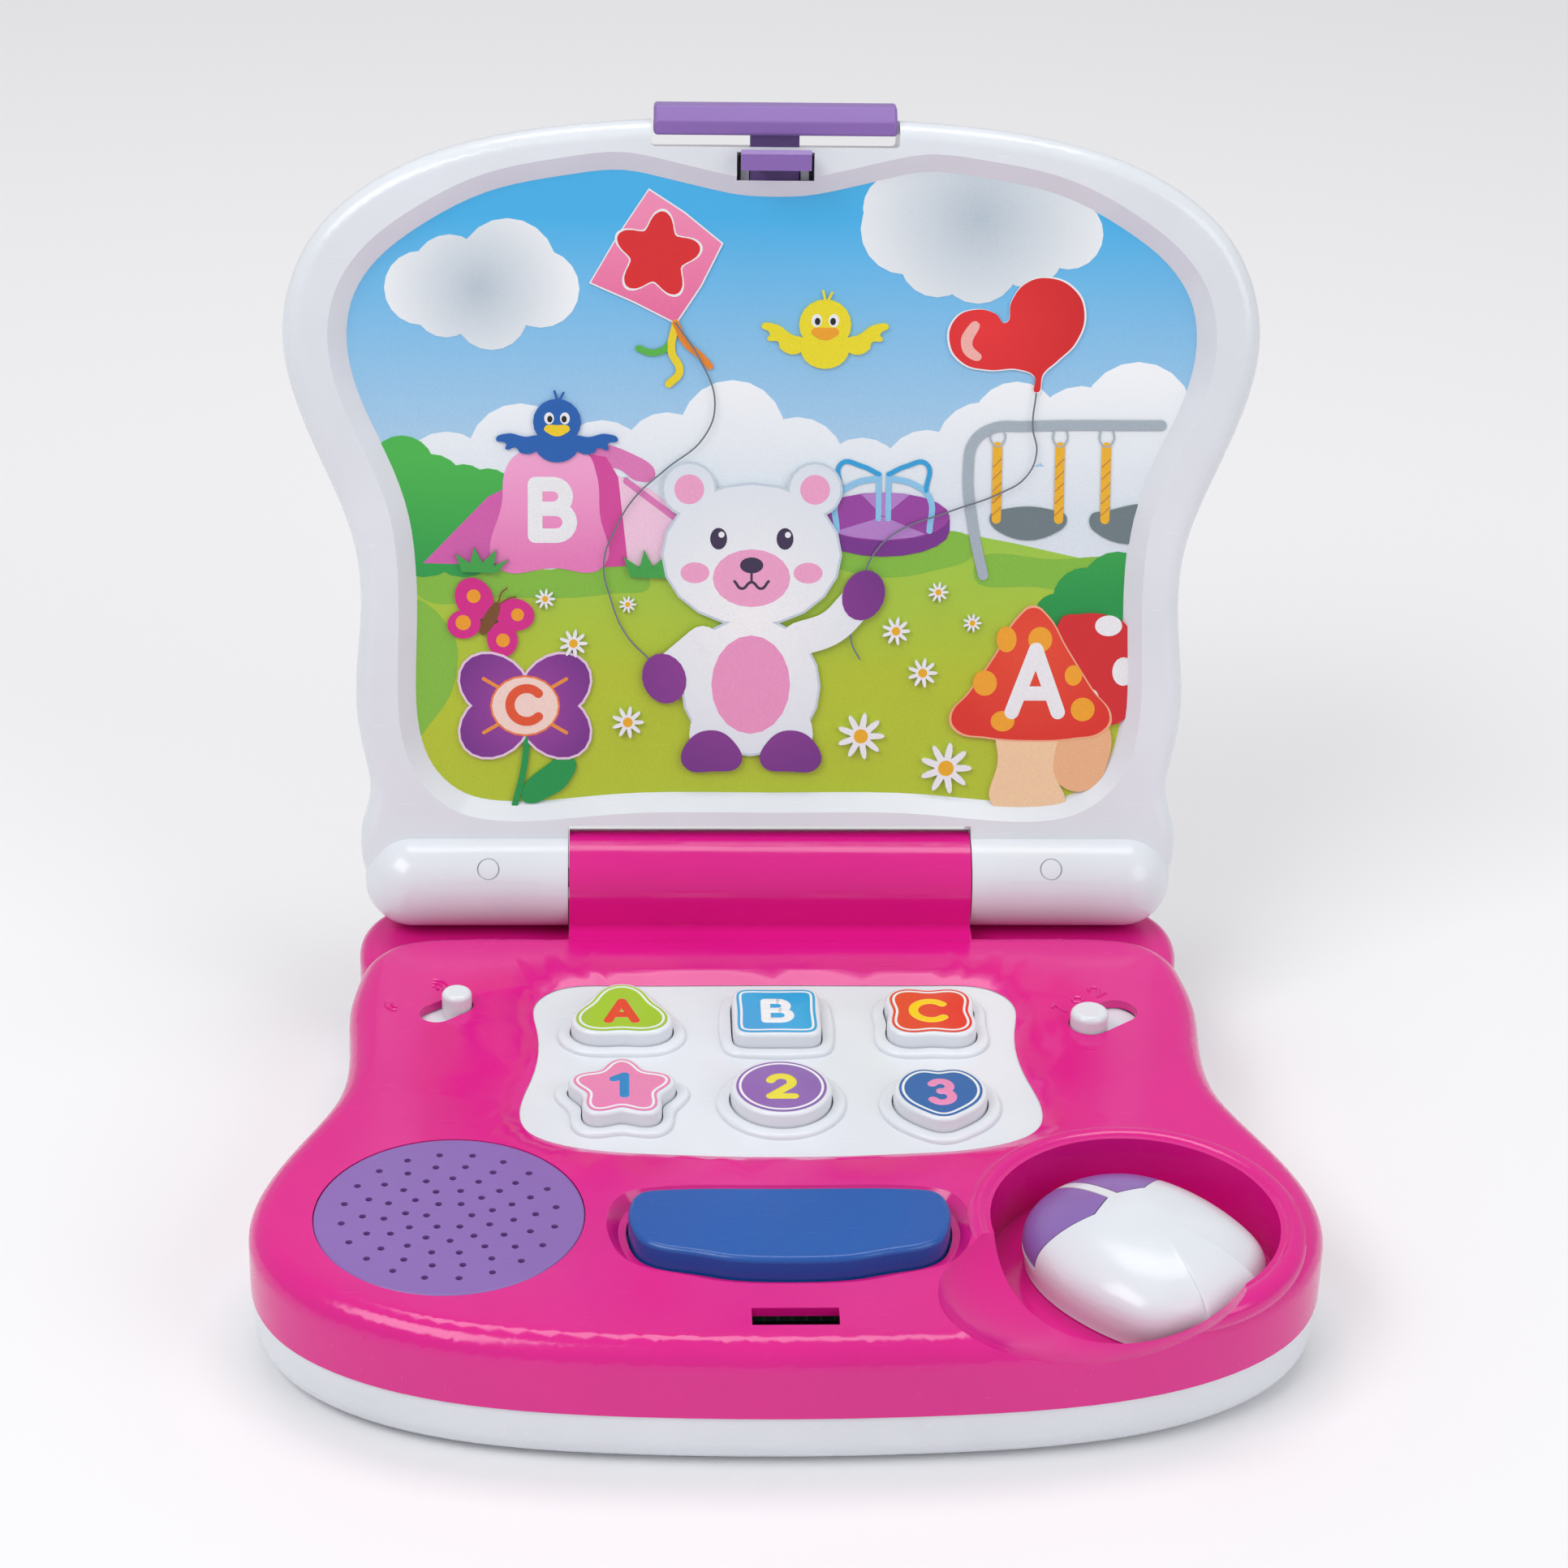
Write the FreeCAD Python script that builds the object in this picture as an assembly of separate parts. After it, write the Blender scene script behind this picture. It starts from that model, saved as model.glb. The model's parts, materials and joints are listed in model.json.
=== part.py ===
"""Toy laptop computer: a battery-powered learning toy with a folding lid, keys, a mouse and a latch.

Millimetres. Origin: centre of the underside, on the table. X right, Y back, Z up.
The lid is modelled shut, lying over the base, and is then swung open about the hinge axis.
"""
import FreeCAD, Part
import math
import os

V = FreeCAD.Vector
X_AXIS = V(1, 0, 0)
Z_AXIS = V(0, 0, 1)

# ---- driving dimensions --------------------------------------------------
HINGE_Y = 87.0            # hinge axis, behind the origin
HINGE_Z = 38.0            # hinge axis, above the table
OPEN_ANGLE = 108.0        # lid angle when it leans on its stop

WALL = 2.2                # moulded wall
PARTING_Z = 14.0          # joint line between the bottom and top shells
DECK_Z = 32.0             # top of the main deck
SHELF_Z = 25.5            # rear shelf under the lid's hinge barrels
DECK_ROUND = 6.5          # round-over of the deck's edge
SHELF_ROUND = 4.0
BOTTOM_ROUND = 7.0        # round-over of the bottom shell
PARTING_INSET = 0.5       # bottom shell steps in this much below the joint line

BARREL_R = 12.0           # lid hinge barrels
CENTRE_BARREL_R = 12.3    # hinge barrel on the base
CENTRE_BARREL_HALF = 50.0
BARREL_END_X = 89.0       # where the lid barrels' round ends begin
PIN_R = 2.5
PIN_CLEAR = 0.05          # running fit of the hinge pins in the lid
PRESS_CLEAR = 0.02        # snug fit of pins and posts in their own body
GAP = 0.3                 # working gap between moving and fixed pieces

BEZEL_T = -5.0            # lid face plane, from the hinge axis
PICTURE_T = -1.0          # face of the printed picture
LID_JOINT_T = 3.0         # joint line between bezel and back cover
LID_BACK_T = 13.0         # outside of the back cover
BEZEL_ROUND = 4.6
BACK_ROUND = 6.0
BEZEL_BEVEL = 4.4         # width of the slope down to the picture
PRINT_T = 0.3
PANEL_T = 1.6

PANEL_Z = 29.6            # face of the white keypad panel
KEY_TOP_Z = 34.4
KEY_TRAVEL = 2.4
KEY_CLEAR = 0.35          # gap round each key in its ring
RING_W = 3.0              # moulded ring round each key
RING_H = 1.2
LABEL_T = 0.15
KEY_COLUMN = 37.0         # key centres, left and right of the middle
KEY_ROW_S = (57.5, 90.5)  # key rows, measured forward from the hinge axis
BAR_TOP_Z = 35.0
BOARD_TOP_Z = 22.4
BOARD_T = 1.6
FLANGE_T = 1.2            # retaining flange under each key
DOME_TOP_Z = BOARD_TOP_Z + KEY_TRAVEL + 1.2   # rubber domes reach the keys' flanges here

GRILLE_R = 30.0
GRILLE_T = 1.6
GRILLE_AT = (-75.3, 138.5)
HOLE_R = 0.8
SPEAKER_R = 25.0

WELL_R = 32.3             # mouse well
WELL_AT = (77.0, 141.0)
WELL_FLOOR_Z = 17.5
MOUSE_TOP_Z = 35.5
MOUSE_TURN = 40.0         # the mouse's nose is turned this far to the left
MOUSE_OFFSET = 3.0        # mouse centre in front of its pivot, along its own length
MOUSE_WALL = 1.8

BAR_HALF = 29.5           # latch push bar
BAR_BACK_S = 184.4        # its rear face, from the hinge axis
LATCH_TRAVEL = 2.2
HOOK_HALF = 8.5
SLOT_HALF = 9.4
SLOT_S = (173.4, 179.5)   # latch slot in the deck, from the hinge axis

SWITCH_TILT = 38.0
AA_R = 7.1                # battery cells
AA_LEN = 50.0


def y_of(s):
    """Distance s forward of the hinge axis as a Y value."""
    return HINGE_Y - s


def z_of(t):
    """Height t above the hinge axis as a Z value, with the lid shut."""
    return HINGE_Z + t


# ---- outlines, as half shapes of (x, s) from the rear centre to the front centre
LID_HALF = [(0, -10.5), (45, -10.5), (82, -10.5), (93, -7.5), (99.5, -1), (101.9, 7), (101.4, 15),
            (99.5, 22.5), (100.2, 28.5), (102.2, 38), (102.8, 50), (101.5, 67), (103.1, 85),
            (109.6, 102), (116.3, 118), (119.8, 134), (118.3, 147), (112, 160), (99.5, 171.5),
            (82.5, 179.8), (60, 185.2), (30, 188), (0, 188.8)]
DECK_HALF = [(0, 15.5), (50, 15.5), (80, 15.6), (92.5, 18.5), (99, 25.5), (101.5, 35), (102.6, 46),
             (101.9, 60), (101.6, 72), (103.1, 85), (109.6, 102), (116.3, 118), (119.8, 134),
             (118.3, 147), (112, 160), (99.5, 171.5), (82.5, 179.8), (60, 185.2), (30, 188),
             (0, 188.8)]
LOBE_HALF = [(0, -14), (40, -14), (74, -13.8), (89, -11), (97.5, -5), (101.8, 4), (102.2, 12),
             (100.6, 19.5), (96, 26), (84, 32), (40, 34), (0, 34)]
PICTURE_HALF = [(0, 22), (40, 21.5), (66, 19.8), (76, 21.8), (84, 29), (87.5, 40), (87.8, 56),
                (87.6, 76), (89.5, 92), (94.5, 106), (101, 120), (104.2, 134), (102.5, 145),
                (96.5, 154), (87, 161.5), (69, 170.6), (50, 174.6), (37, 175.8), (27, 174),
                (14, 171), (0, 169.6)]
PANEL_HALF = [(0, 38.5), (40, 38.6), (52.5, 40.5), (57.6, 47), (57.2, 58), (56.6, 69), (58.2, 81),
              (60.4, 92), (59, 101), (50, 107.6), (26, 111.4), (0, 112.5)]
BAR_OUTLINE = [(0, 132), (28, 132.3), (33.4, 133.8), (35.5, 138.5), (35, 147), (32.5, 152.4),
               (22, 156.6), (0, 159.8)]


# ---- making shapes -------------------------------------------------------
def outline(half):
    """The right half of an outline, from the rear centre round to the front centre."""
    return [V(x, y_of(s), 0) for x, s in half]


def marks_of(half):
    """Distances along the points, so that a unit tangent is a fair one."""
    marks = [0.0]
    for start, end in zip(half, half[1:]):
        marks.append(marks[-1] + (end - start).Length)
    return marks


def spline_through(half):
    """A smooth curve through a half outline that crosses its middle line squarely."""
    spline = Part.BSplineCurve()
    spline.interpolate(Points=half, Parameters=marks_of(half), InitialTangent=X_AXIS, FinalTangent=-X_AXIS)
    return spline


def curve(half, z=0.0):
    """The closed wire of a half outline and its mirror image."""
    right = spline_through([V(p.x, p.y, z) for p in half]).toShape()
    left = right.mirror(half[0], X_AXIS)
    return Part.Wire([right, left])


def loop(points, z=0.0):
    """The closed wire of an outline whose close, even points go all the way round."""
    spline = Part.BSplineCurve()
    spline.interpolate(Points=[V(p.x, p.y, z) for p in points], PeriodicFlag=True)
    return Part.Wire([spline.toShape()])


def grown(half, distance):
    """The same outline, moved outwards by a distance."""
    spline = spline_through(half)
    result = []
    for point, mark in zip(half, marks_of(half)):
        tangent = spline.tangent(mark)[0]
        result.append(point + V(-tangent.y, tangent.x, 0) * distance)
    return result


def prism(points, low, high):
    """A straight-sided solid on an outline."""
    return Part.Face(curve(points, low)).extrude(V(0, 0, high - low))


def taper(low_points, low, high_points, high):
    """A sloping-sided solid between two outlines."""
    return Part.makeLoft([curve(low_points, low), curve(high_points, high)], True, True)


def box(x0, x1, y0, y1, z0, z1):
    return Part.makeBox(x1 - x0, y1 - y0, z1 - z0, V(x0, y0, z0))


def disc(x, y, radius, low, high):
    return Part.makeCylinder(radius, high - low, V(x, y, low))


def tube(x, y, outer, inner, low, high):
    return disc(x, y, outer, low, high).cut(disc(x, y, inner, low, high))


def rod(radius, x0, x1):
    """A cylinder along the hinge axis."""
    return Part.makeCylinder(radius, x1 - x0, V(x0, HINGE_Y, HINGE_Z), X_AXIS)


def edges_at(shape, z):
    """The edges that lie flat at a height."""
    found = []
    for edge in shape.Edges:
        size = edge.BoundBox
        if abs(size.ZMin - z) < 0.01 and abs(size.ZMax - z) < 0.01:
            found.append(edge)
    return found


def rounded(shape, z, radius):
    """Round the edges at a height."""
    return shape.makeFillet(radius, edges_at(shape, z))


def union(first, *others):
    return first.multiFuse(list(others))


def carve(shape, tools):
    """Cut the tools away one after another."""
    for tool in tools:
        shape = shape.cut(tool)
    return shape


def turned(shape, angle, centre, axis=Z_AXIS):
    result = shape.copy()
    result.rotate(centre, axis, angle)
    return result


def placed(shape, x, y, z=0.0):
    result = shape.copy()
    result.translate(V(x, y, z))
    return result


def both_sides(shape):
    """A shape and its mirror image in the X = 0 plane."""
    return [shape, shape.mirror(V(0, 0, 0), X_AXIS)]


def opened(shape):
    """Swing a lid piece from shut to open."""
    return turned(shape, -OPEN_ANGLE, V(0, HINGE_Y, HINGE_Z), X_AXIS)


def helix_spring(coil_r, wire_r, length, turns):
    """A coil spring standing on Z = 0."""
    pitch = (length - 2 * wire_r) / turns
    path = Part.makeHelix(pitch, length - 2 * wire_r, coil_r)
    section = Part.Wire([Part.makeCircle(wire_r, V(coil_r, 0, 0), V(0, 1, 0))])
    return placed(Part.Wire(path).makePipeShell([section], True, True), 0, 0, wire_r)


def screw(head_r, shank_r, length):
    """A pan-head screw with a cross recess, its head's underside at Z = 0, pointing down."""
    head = Part.makeCylinder(head_r, head_r * 0.7)
    head = head.makeFillet(head_r * 0.3, edges_at(head, head_r * 0.7))
    recess = union(box(-head_r * 0.6, head_r * 0.6, -0.35, 0.35, head_r * 0.3, head_r),
                   box(-0.35, 0.35, -head_r * 0.6, head_r * 0.6, head_r * 0.3, head_r))
    shank = Part.makeCylinder(shank_r, length * 0.8, V(0, 0, -length * 0.8))
    tip = Part.makeCone(shank_r * 0.35, shank_r, length * 0.2, V(0, 0, -length))
    return union(head.cut(recess), shank, tip)


def wire(points, radius):
    """An insulated wire through the points, with rounded corners."""
    pieces = []
    for start, end in zip(points, points[1:]):
        run = end - start
        pieces.append(Part.makeCylinder(radius, run.Length, start, run))
    for corner in points[1:-1]:
        pieces.append(Part.makeSphere(radius, corner))
    return union(*pieces)


def save(name, shape):
    shape.exportStep("parts/" + name + ".step")


os.makedirs("parts", exist_ok=True)
DECK = outline(DECK_HALF)
LOBE = outline(LOBE_HALF)
LID = outline(LID_HALF)
PICTURE = outline(PICTURE_HALF)
PANEL = outline(PANEL_HALF)
BAR = outline(BAR_OUTLINE)
grille_x, grille_y = GRILLE_AT[0], y_of(GRILLE_AT[1])
well_x, well_y = WELL_AT[0], y_of(WELL_AT[1])
FLOOR_Z = WALL

# Places of the screw posts that join the two shells.
CASE_POSTS = [(-86, 73), (86, 73), (-88, 2), (90, 2), (-44, -82), (28, -84)]
POST_R = 3.6
SCREW_R = 1.4
HEAD_R = 2.8
HEAD_CLEAR = 0.5
BOARD_POSTS = [(-44, 57), (44, 57), (-68, -10), (68, -8)]
PIVOT_R = 4.0             # mouse pivot hole
HEAD_DEPTH = 8.0

# ---- battery compartment: three cells side by side across the middle ------
CELL_PITCH = 15.0
BAY_MID_Y = 43.0
TAB_SINK = 1.6            # the door's screw tab is sunk to hide the screw head
DOOR_SCREW_R = 1.1
cell_rows = [BAY_MID_Y + CELL_PITCH * k for k in (-1, 0, 1)]
BAY_HALF_X = AA_LEN / 2 + 4.5
BAY_Y0 = cell_rows[0] - CELL_PITCH / 2 - 0.6
BAY_Y1 = cell_rows[-1] + CELL_PITCH / 2 + 0.6
DOOR_LIP = 3.0
DOOR_T = 2.0
DOOR_CLEAR = 0.25
BAY_TOP_Z = DOOR_T + 2 * AA_R + 1.0
cell_z = DOOR_T + AA_R + 0.4
DOOR_SCREW_Y = BAY_Y0 - 7.0
DOOR_TAB_HALF = 8.0


# ---- bottom shell ---------------------------------------------------------
def bottom_shell():
    pieces = []
    hollows = []
    for half in (DECK, LOBE):
        outside = grown(half, -PARTING_INSET)
        pieces.append(rounded(prism(outside, 0, PARTING_Z), 0, BOTTOM_ROUND))
        inside = prism(grown(outside, -WALL), FLOOR_Z, PARTING_Z + 1)
        hollows.append(rounded(inside, FLOOR_Z, BOTTOM_ROUND - WALL))
    shell = carve(union(*pieces), hollows)
    posts = [disc(x, y, HEAD_R + HEAD_CLEAR + 1.3, 0, PARTING_Z) for x, y in CASE_POSTS]
    bay = box(-BAY_HALF_X - WALL, BAY_HALF_X + WALL, BAY_Y0 - WALL, BAY_Y1 + WALL, 0, BAY_TOP_Z + 1.2)
    door_post = union(disc(0, DOOR_SCREW_Y, POST_R, 0, BAY_TOP_Z - 3),
                      box(-DOOR_TAB_HALF - WALL, DOOR_TAB_HALF + WALL, DOOR_SCREW_Y - 5 - WALL, BAY_Y0,
                          0, TAB_SINK + DOOR_T + WALL))
    shell = union(shell, bay, door_post, *posts)
    cuts = [box(-BAY_HALF_X, BAY_HALF_X, BAY_Y0, BAY_Y1, 0, BAY_TOP_Z)]
    cuts.append(box(-BAY_HALF_X - DOOR_LIP, BAY_HALF_X + DOOR_LIP, BAY_Y0 - DOOR_LIP,
                    BAY_Y1 + DOOR_LIP, 0, DOOR_T))
    cuts.append(box(-DOOR_TAB_HALF, DOOR_TAB_HALF, DOOR_SCREW_Y - 5, BAY_Y0 + 1, 0, TAB_SINK + DOOR_T))
    cuts.append(disc(0, DOOR_SCREW_Y, DOOR_SCREW_R + PRESS_CLEAR, 0, BAY_TOP_Z - 5))
    for x, y in CASE_POSTS:
        cuts.append(disc(x, y, HEAD_R + HEAD_CLEAR, 0, HEAD_DEPTH))
        cuts.append(disc(x, y, SCREW_R + 0.2, 0, PARTING_Z))
    return carve(shell, cuts)


def battery_door():
    plate = union(box(-BAY_HALF_X - DOOR_LIP + DOOR_CLEAR, BAY_HALF_X + DOOR_LIP - DOOR_CLEAR,
                      BAY_Y0 - DOOR_LIP + DOOR_CLEAR, BAY_Y1 + DOOR_LIP - DOOR_CLEAR, 0, DOOR_T),
                  box(-DOOR_TAB_HALF + DOOR_CLEAR, DOOR_TAB_HALF - DOOR_CLEAR,
                      DOOR_SCREW_Y - 5 + DOOR_CLEAR, BAY_Y0, TAB_SINK, TAB_SINK + DOOR_T))
    grips = [box(-12, 12, BAY_Y1 - 4 - 3 * k, BAY_Y1 - 3 - 3 * k, -1, 0.7) for k in range(4)]
    return carve(plate, [disc(0, DOOR_SCREW_Y, DOOR_SCREW_R + 0.3, 0, TAB_SINK + DOOR_T)] + grips)


save("bottom_shell", bottom_shell())
save("battery_door", battery_door())
door_screw = turned(screw(2.0, DOOR_SCREW_R, 8), 180, V(0, 0, 0), X_AXIS)
save("battery_door_screw", placed(door_screw, 0, DOOR_SCREW_Y, TAB_SINK - PRESS_CLEAR))


# ---- batteries and their contacts -----------------------------------------
def battery(y, sign):
    """One cell along X, its button at the end that the sign gives."""
    body = Part.makeCylinder(AA_R, AA_LEN - 1.5, V(-AA_LEN / 2, 0, 0), X_AXIS)
    body = body.makeFillet(0.5, body.Edges)
    button = Part.makeCylinder(2.7, 1.5, V(AA_LEN / 2 - 1.5, 0, 0), X_AXIS)
    cell = union(body, button)
    return placed(cell if sign > 0 else turned(cell, 180, V(0, 0, 0)), 0, y, cell_z)


SIGNS = (1, -1, 1)
CONTACT_T = 0.4
save("batteries", Part.makeCompound([battery(y, sign) for y, sign in zip(cell_rows, SIGNS)]))
plates = []
springs = []
spring_room = BAY_HALF_X - CONTACT_T - AA_LEN / 2
for row_y, sign in zip(cell_rows, SIGNS):
    for end in (1, -1):
        plate = box(-5.5, 5.5, -5.5, 5.5, -CONTACT_T / 2, CONTACT_T / 2)
        if end == sign:
            plate = union(plate, Part.makeCylinder(2.0, spring_room - 0.1))
        stand = turned(plate, -90 * end, V(0, 0, 0), V(0, 1, 0))
        plates.append(placed(stand, end * (BAY_HALF_X - CONTACT_T / 2 - 0.01), row_y, cell_z))
    coil = helix_spring(3.0, 0.35, spring_room - 0.2, 3)
    coil = turned(coil, 90 * sign, V(0, 0, 0), V(0, 1, 0))
    springs.append(placed(coil, -sign * (BAY_HALF_X - CONTACT_T - 0.1), row_y, cell_z))
save("battery_contacts", Part.makeCompound(plates))
save("battery_springs", Part.makeCompound(springs))

# ---- key shapes: the radius of each outline at an angle about its centre -----
UP = math.pi / 2
KEY_POINTS = 60


def triangle(angle):
    return 11.3 + 1.75 * math.cos(3 * (angle - UP))


def square(angle):
    return 10.6 / (abs(math.cos(angle)) ** 7 + abs(math.sin(angle)) ** 7) ** (1 / 7)


def clover(angle):
    return 11.6 - 1.35 * math.cos(4 * angle)


def star(angle):
    return 11.4 + 1.6 * math.cos(5 * (angle - UP))


def circle(angle):
    return 11.8


def heart(angle):
    notch_depth = 2.0 * math.exp((math.sin(angle) - 1) / 0.1)
    point = 1.6 * math.exp(-(math.sin(angle) + 1) / 0.06)
    return 10.9 - 1.3 * math.sin(angle) - notch_depth + point


KEYS = [("a", triangle, -1, 0), ("b", square, 0, 0), ("c", clover, 1, 0),
        ("1", star, -1, 1), ("2", circle, 0, 1), ("3", heart, 1, 1)]


def key_centre(column, row):
    return V(KEY_COLUMN * column, y_of(KEY_ROW_S[row]), 0)


def key_outline(radius_at, centre, margin):
    """A key's whole outline, larger all round by a margin."""
    points = []
    for k in range(KEY_POINTS):
        angle = UP - 2 * math.pi * k / KEY_POINTS
        reach = radius_at(angle) + margin
        points.append(centre + V(reach * math.cos(angle), reach * math.sin(angle), 0))
    return points


def key_prism(radius_at, centre, margin, low, high):
    """A straight-sided solid on a key's outline."""
    wire_loop = loop(key_outline(radius_at, centre, margin), low)
    return Part.Face(wire_loop).extrude(V(0, 0, high - low))


# ---- switches: two knobs that slide in tilted slots --------------------------
# name, slot centre x and s, slot length and width, knob radius, end where the knob rests
SWITCHES = [("volume", -79.0, 52.6, 14.0, 8.2, 3.6, 1), ("mode", 78.7, 56.6, 19.0, 10.2, 4.6, -1)]


def tilted(shape, x, y):
    return placed(turned(shape, SWITCH_TILT, V(0, 0, 0)), x, y)


def obround(length, width, low, high):
    """A bar with round ends, along X."""
    reach = (length - width) / 2
    return union(box(-reach, reach, -width / 2, width / 2, low, high),
                 disc(-reach, 0, width / 2, low, high), disc(reach, 0, width / 2, low, high))


# ---- top shell -----------------------------------------------------------------
LIP_RISE = 0.7
BAR_BOSS_Z = 27.0
BAR_DISH_Z = 29.2


def mouse_scoop(margin):
    """The hollow at the front corner that lets a hand reach the mouse, or its form set out."""
    ball = Part.makeSphere(1.0)
    stretch = FreeCAD.Matrix()
    stretch.scale(37.5 + margin, 28.5 + margin, 18.5 + margin)
    scoop = ball.transformGeometry(stretch)
    return placed(turned(scoop, 18, V(0, 0, 0)), well_x - 12, well_y - 24, DECK_Z + 7)


def top_shell():
    deck = rounded(prism(DECK, PARTING_Z, DECK_Z), DECK_Z, DECK_ROUND)
    lobe = rounded(prism(LOBE, PARTING_Z, SHELF_Z), SHELF_Z, SHELF_ROUND)
    lip = Part.makeTorus(WELL_R + 3.0, 3.2, V(well_x, well_y, DECK_Z + LIP_RISE - 3.2))
    saddle = box(-CENTRE_BARREL_HALF, CENTRE_BARREL_HALF, HINGE_Y - CENTRE_BARREL_R,
                 HINGE_Y + CENTRE_BARREL_R, SHELF_Z - 4, HINGE_Z)
    bridge = box(-CENTRE_BARREL_HALF, CENTRE_BARREL_HALF, HINGE_Y - 20, HINGE_Y - 10,
                 SHELF_Z - 4, DECK_Z - 0.6)
    barrel = rod(CENTRE_BARREL_R, -CENTRE_BARREL_HALF, CENTRE_BARREL_HALF)
    shell = union(deck, lobe, lip, saddle, bridge, barrel)

    deck_hollow = prism(grown(DECK, -WALL), PARTING_Z - 1, DECK_Z - WALL)
    deck_hollow = rounded(deck_hollow, DECK_Z - WALL, DECK_ROUND - WALL)
    keep = mouse_scoop(WALL).common(box(-200, 200, -200, 200, PARTING_Z, DECK_Z - 0.5))
    lobe_hollow = prism(grown(LOBE, -WALL), PARTING_Z - 1, SHELF_Z - WALL)
    inner = CENTRE_BARREL_HALF - 2.5
    saddle_hollow = box(-inner, inner, HINGE_Y - CENTRE_BARREL_R + WALL,
                        HINGE_Y + CENTRE_BARREL_R - WALL, PARTING_Z, HINGE_Z)
    barrel_hollow = rod(CENTRE_BARREL_R - WALL, -inner, inner)
    shell = carve(shell, [deck_hollow.cut(keep), lobe_hollow, saddle_hollow, barrel_hollow])

    adds = [disc(well_x, well_y, WELL_R + WALL, WELL_FLOOR_Z - WALL, DECK_Z - 1)]
    adds.append(prism(grown(BAR, 7.5), BAR_BOSS_Z, DECK_Z - 1))
    adds.append(disc(grille_x, grille_y, GRILLE_R + WALL, DECK_Z - GRILLE_T - WALL, DECK_Z - 1))
    for x, y in CASE_POSTS:
        top = SHELF_Z - 1 if y > y_of(15) else DECK_Z - 1
        adds.append(disc(x, y, POST_R, PARTING_Z, top))
    for x, y in BOARD_POSTS:
        adds.append(disc(x, y, 2.8, BOARD_TOP_Z, DECK_Z - 1))
    for side in (-1, 1):
        rib = rod(CENTRE_BARREL_R - 1, 36, 38).common(box(30, 40, 0, 200, HINGE_Z - 5, 60))
        adds.append(rib if side > 0 else rib.mirror(V(0, 0, 0), X_AXIS))
    shell = union(shell, *adds)

    cuts = [disc(well_x, well_y, WELL_R, WELL_FLOOR_Z, DECK_Z + 5), mouse_scoop(0)]
    cuts.append(disc(well_x, well_y, PIVOT_R, PARTING_Z - 5, WELL_FLOOR_Z + 1))
    cuts.append(taper(PANEL, DECK_Z - WALL - 0.1, grown(PANEL, 5.0), DECK_Z + 0.001))
    cuts.append(taper(grown(BAR, 2.2), BAR_DISH_Z, grown(BAR, 4.8), DECK_Z + 0.001))
    cuts.append(prism(grown(BAR, 0.5), BAR_BOSS_Z - 1, DECK_Z))
    cuts.append(disc(grille_x, grille_y, GRILLE_R + 0.15, DECK_Z - GRILLE_T, DECK_Z + 1))
    cuts.append(disc(grille_x, grille_y, SPEAKER_R - 2, DECK_Z - 8, DECK_Z + 1))
    for name, x, s, length, width, knob_r, rest_end in SWITCHES:
        cuts.append(tilted(obround(length, width, DECK_Z - 6, DECK_Z + 1), x, y_of(s)))
    cuts.append(box(-SLOT_HALF, SLOT_HALF, y_of(SLOT_S[1]), y_of(SLOT_S[0]), DECK_Z - 6, DECK_Z + 1))
    for x, y in CASE_POSTS:
        cuts.append(disc(x, y, SCREW_R, PARTING_Z, PARTING_Z + 9))
    for x, y in BOARD_POSTS:
        cuts.append(disc(x, y, 0.9, BOARD_TOP_Z, BOARD_TOP_Z + 5))
    cuts.append(rod(PIN_R + PRESS_CLEAR, -CENTRE_BARREL_HALF - 1, CENTRE_BARREL_HALF + 1))
    return carve(shell, cuts)


save("top_shell", top_shell())


# ---- keypad panel, keys and their labels ----------------------------------------
def keypad_panel():
    plate = prism(grown(PANEL, 4.0), PANEL_Z - WALL, PANEL_Z)
    rings = []
    holes = []
    for letter, radius_at, column, row in KEYS:
        centre = key_centre(column, row)
        ring = key_prism(radius_at, centre, KEY_CLEAR + RING_W, PANEL_Z - 0.5, PANEL_Z + RING_H)
        rings.append(rounded(ring, PANEL_Z + RING_H, 0.9))
        holes.append(key_prism(radius_at, centre, KEY_CLEAR, PANEL_Z - WALL - 1, PANEL_Z + RING_H + 1))
    return carve(union(plate, *rings), holes)


save("keypad_panel", keypad_panel())
for letter, radius_at, column, row in KEYS:
    centre = key_centre(column, row)
    cap = rounded(key_prism(radius_at, centre, 0, DOME_TOP_Z, KEY_TOP_Z), KEY_TOP_Z, 1.0)
    flange = key_prism(radius_at, centre, 1.6, DOME_TOP_Z, DOME_TOP_Z + FLANGE_T)
    save("key_" + letter, union(cap, flange))
    label = key_prism(radius_at, centre, -1.3, KEY_TOP_Z, KEY_TOP_Z + LABEL_T)
    save("key_label_" + letter, label)

bar_cap = rounded(prism(BAR, DOME_TOP_Z - 0.6, BAR_TOP_Z), BAR_TOP_Z, 1.4)
bar_flange = prism(grown(BAR, 1.8), DOME_TOP_Z - 0.6, DOME_TOP_Z - 0.6 + FLANGE_T)
save("enter_bar", union(bar_cap, bar_flange))

# ---- circuit board, rubber domes, chip and switch bodies --------------------------
BOARD_Z = BOARD_TOP_Z - BOARD_T
board = union(box(-92, 92, 12, 62, BOARD_Z, BOARD_TOP_Z), box(-72, 72, -16, 62, BOARD_Z, BOARD_TOP_Z),
              box(-38, 38, -76, -15, BOARD_Z, BOARD_TOP_Z))
holes = [disc(x, y, 1.1, BOARD_Z - 1, BOARD_TOP_Z + 1) for x, y in BOARD_POSTS]
save("main_board", carve(board, holes))


def dome(x, y, top):
    """A rubber dome with a flat top, standing on the board."""
    outside = Part.makeCone(5.5, 3.0, top - BOARD_TOP_Z, V(x, y, BOARD_TOP_Z))
    inside = Part.makeCone(4.7, 2.2, top - BOARD_TOP_Z - 1.0, V(x, y, BOARD_TOP_Z))
    return outside.cut(inside)


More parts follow.
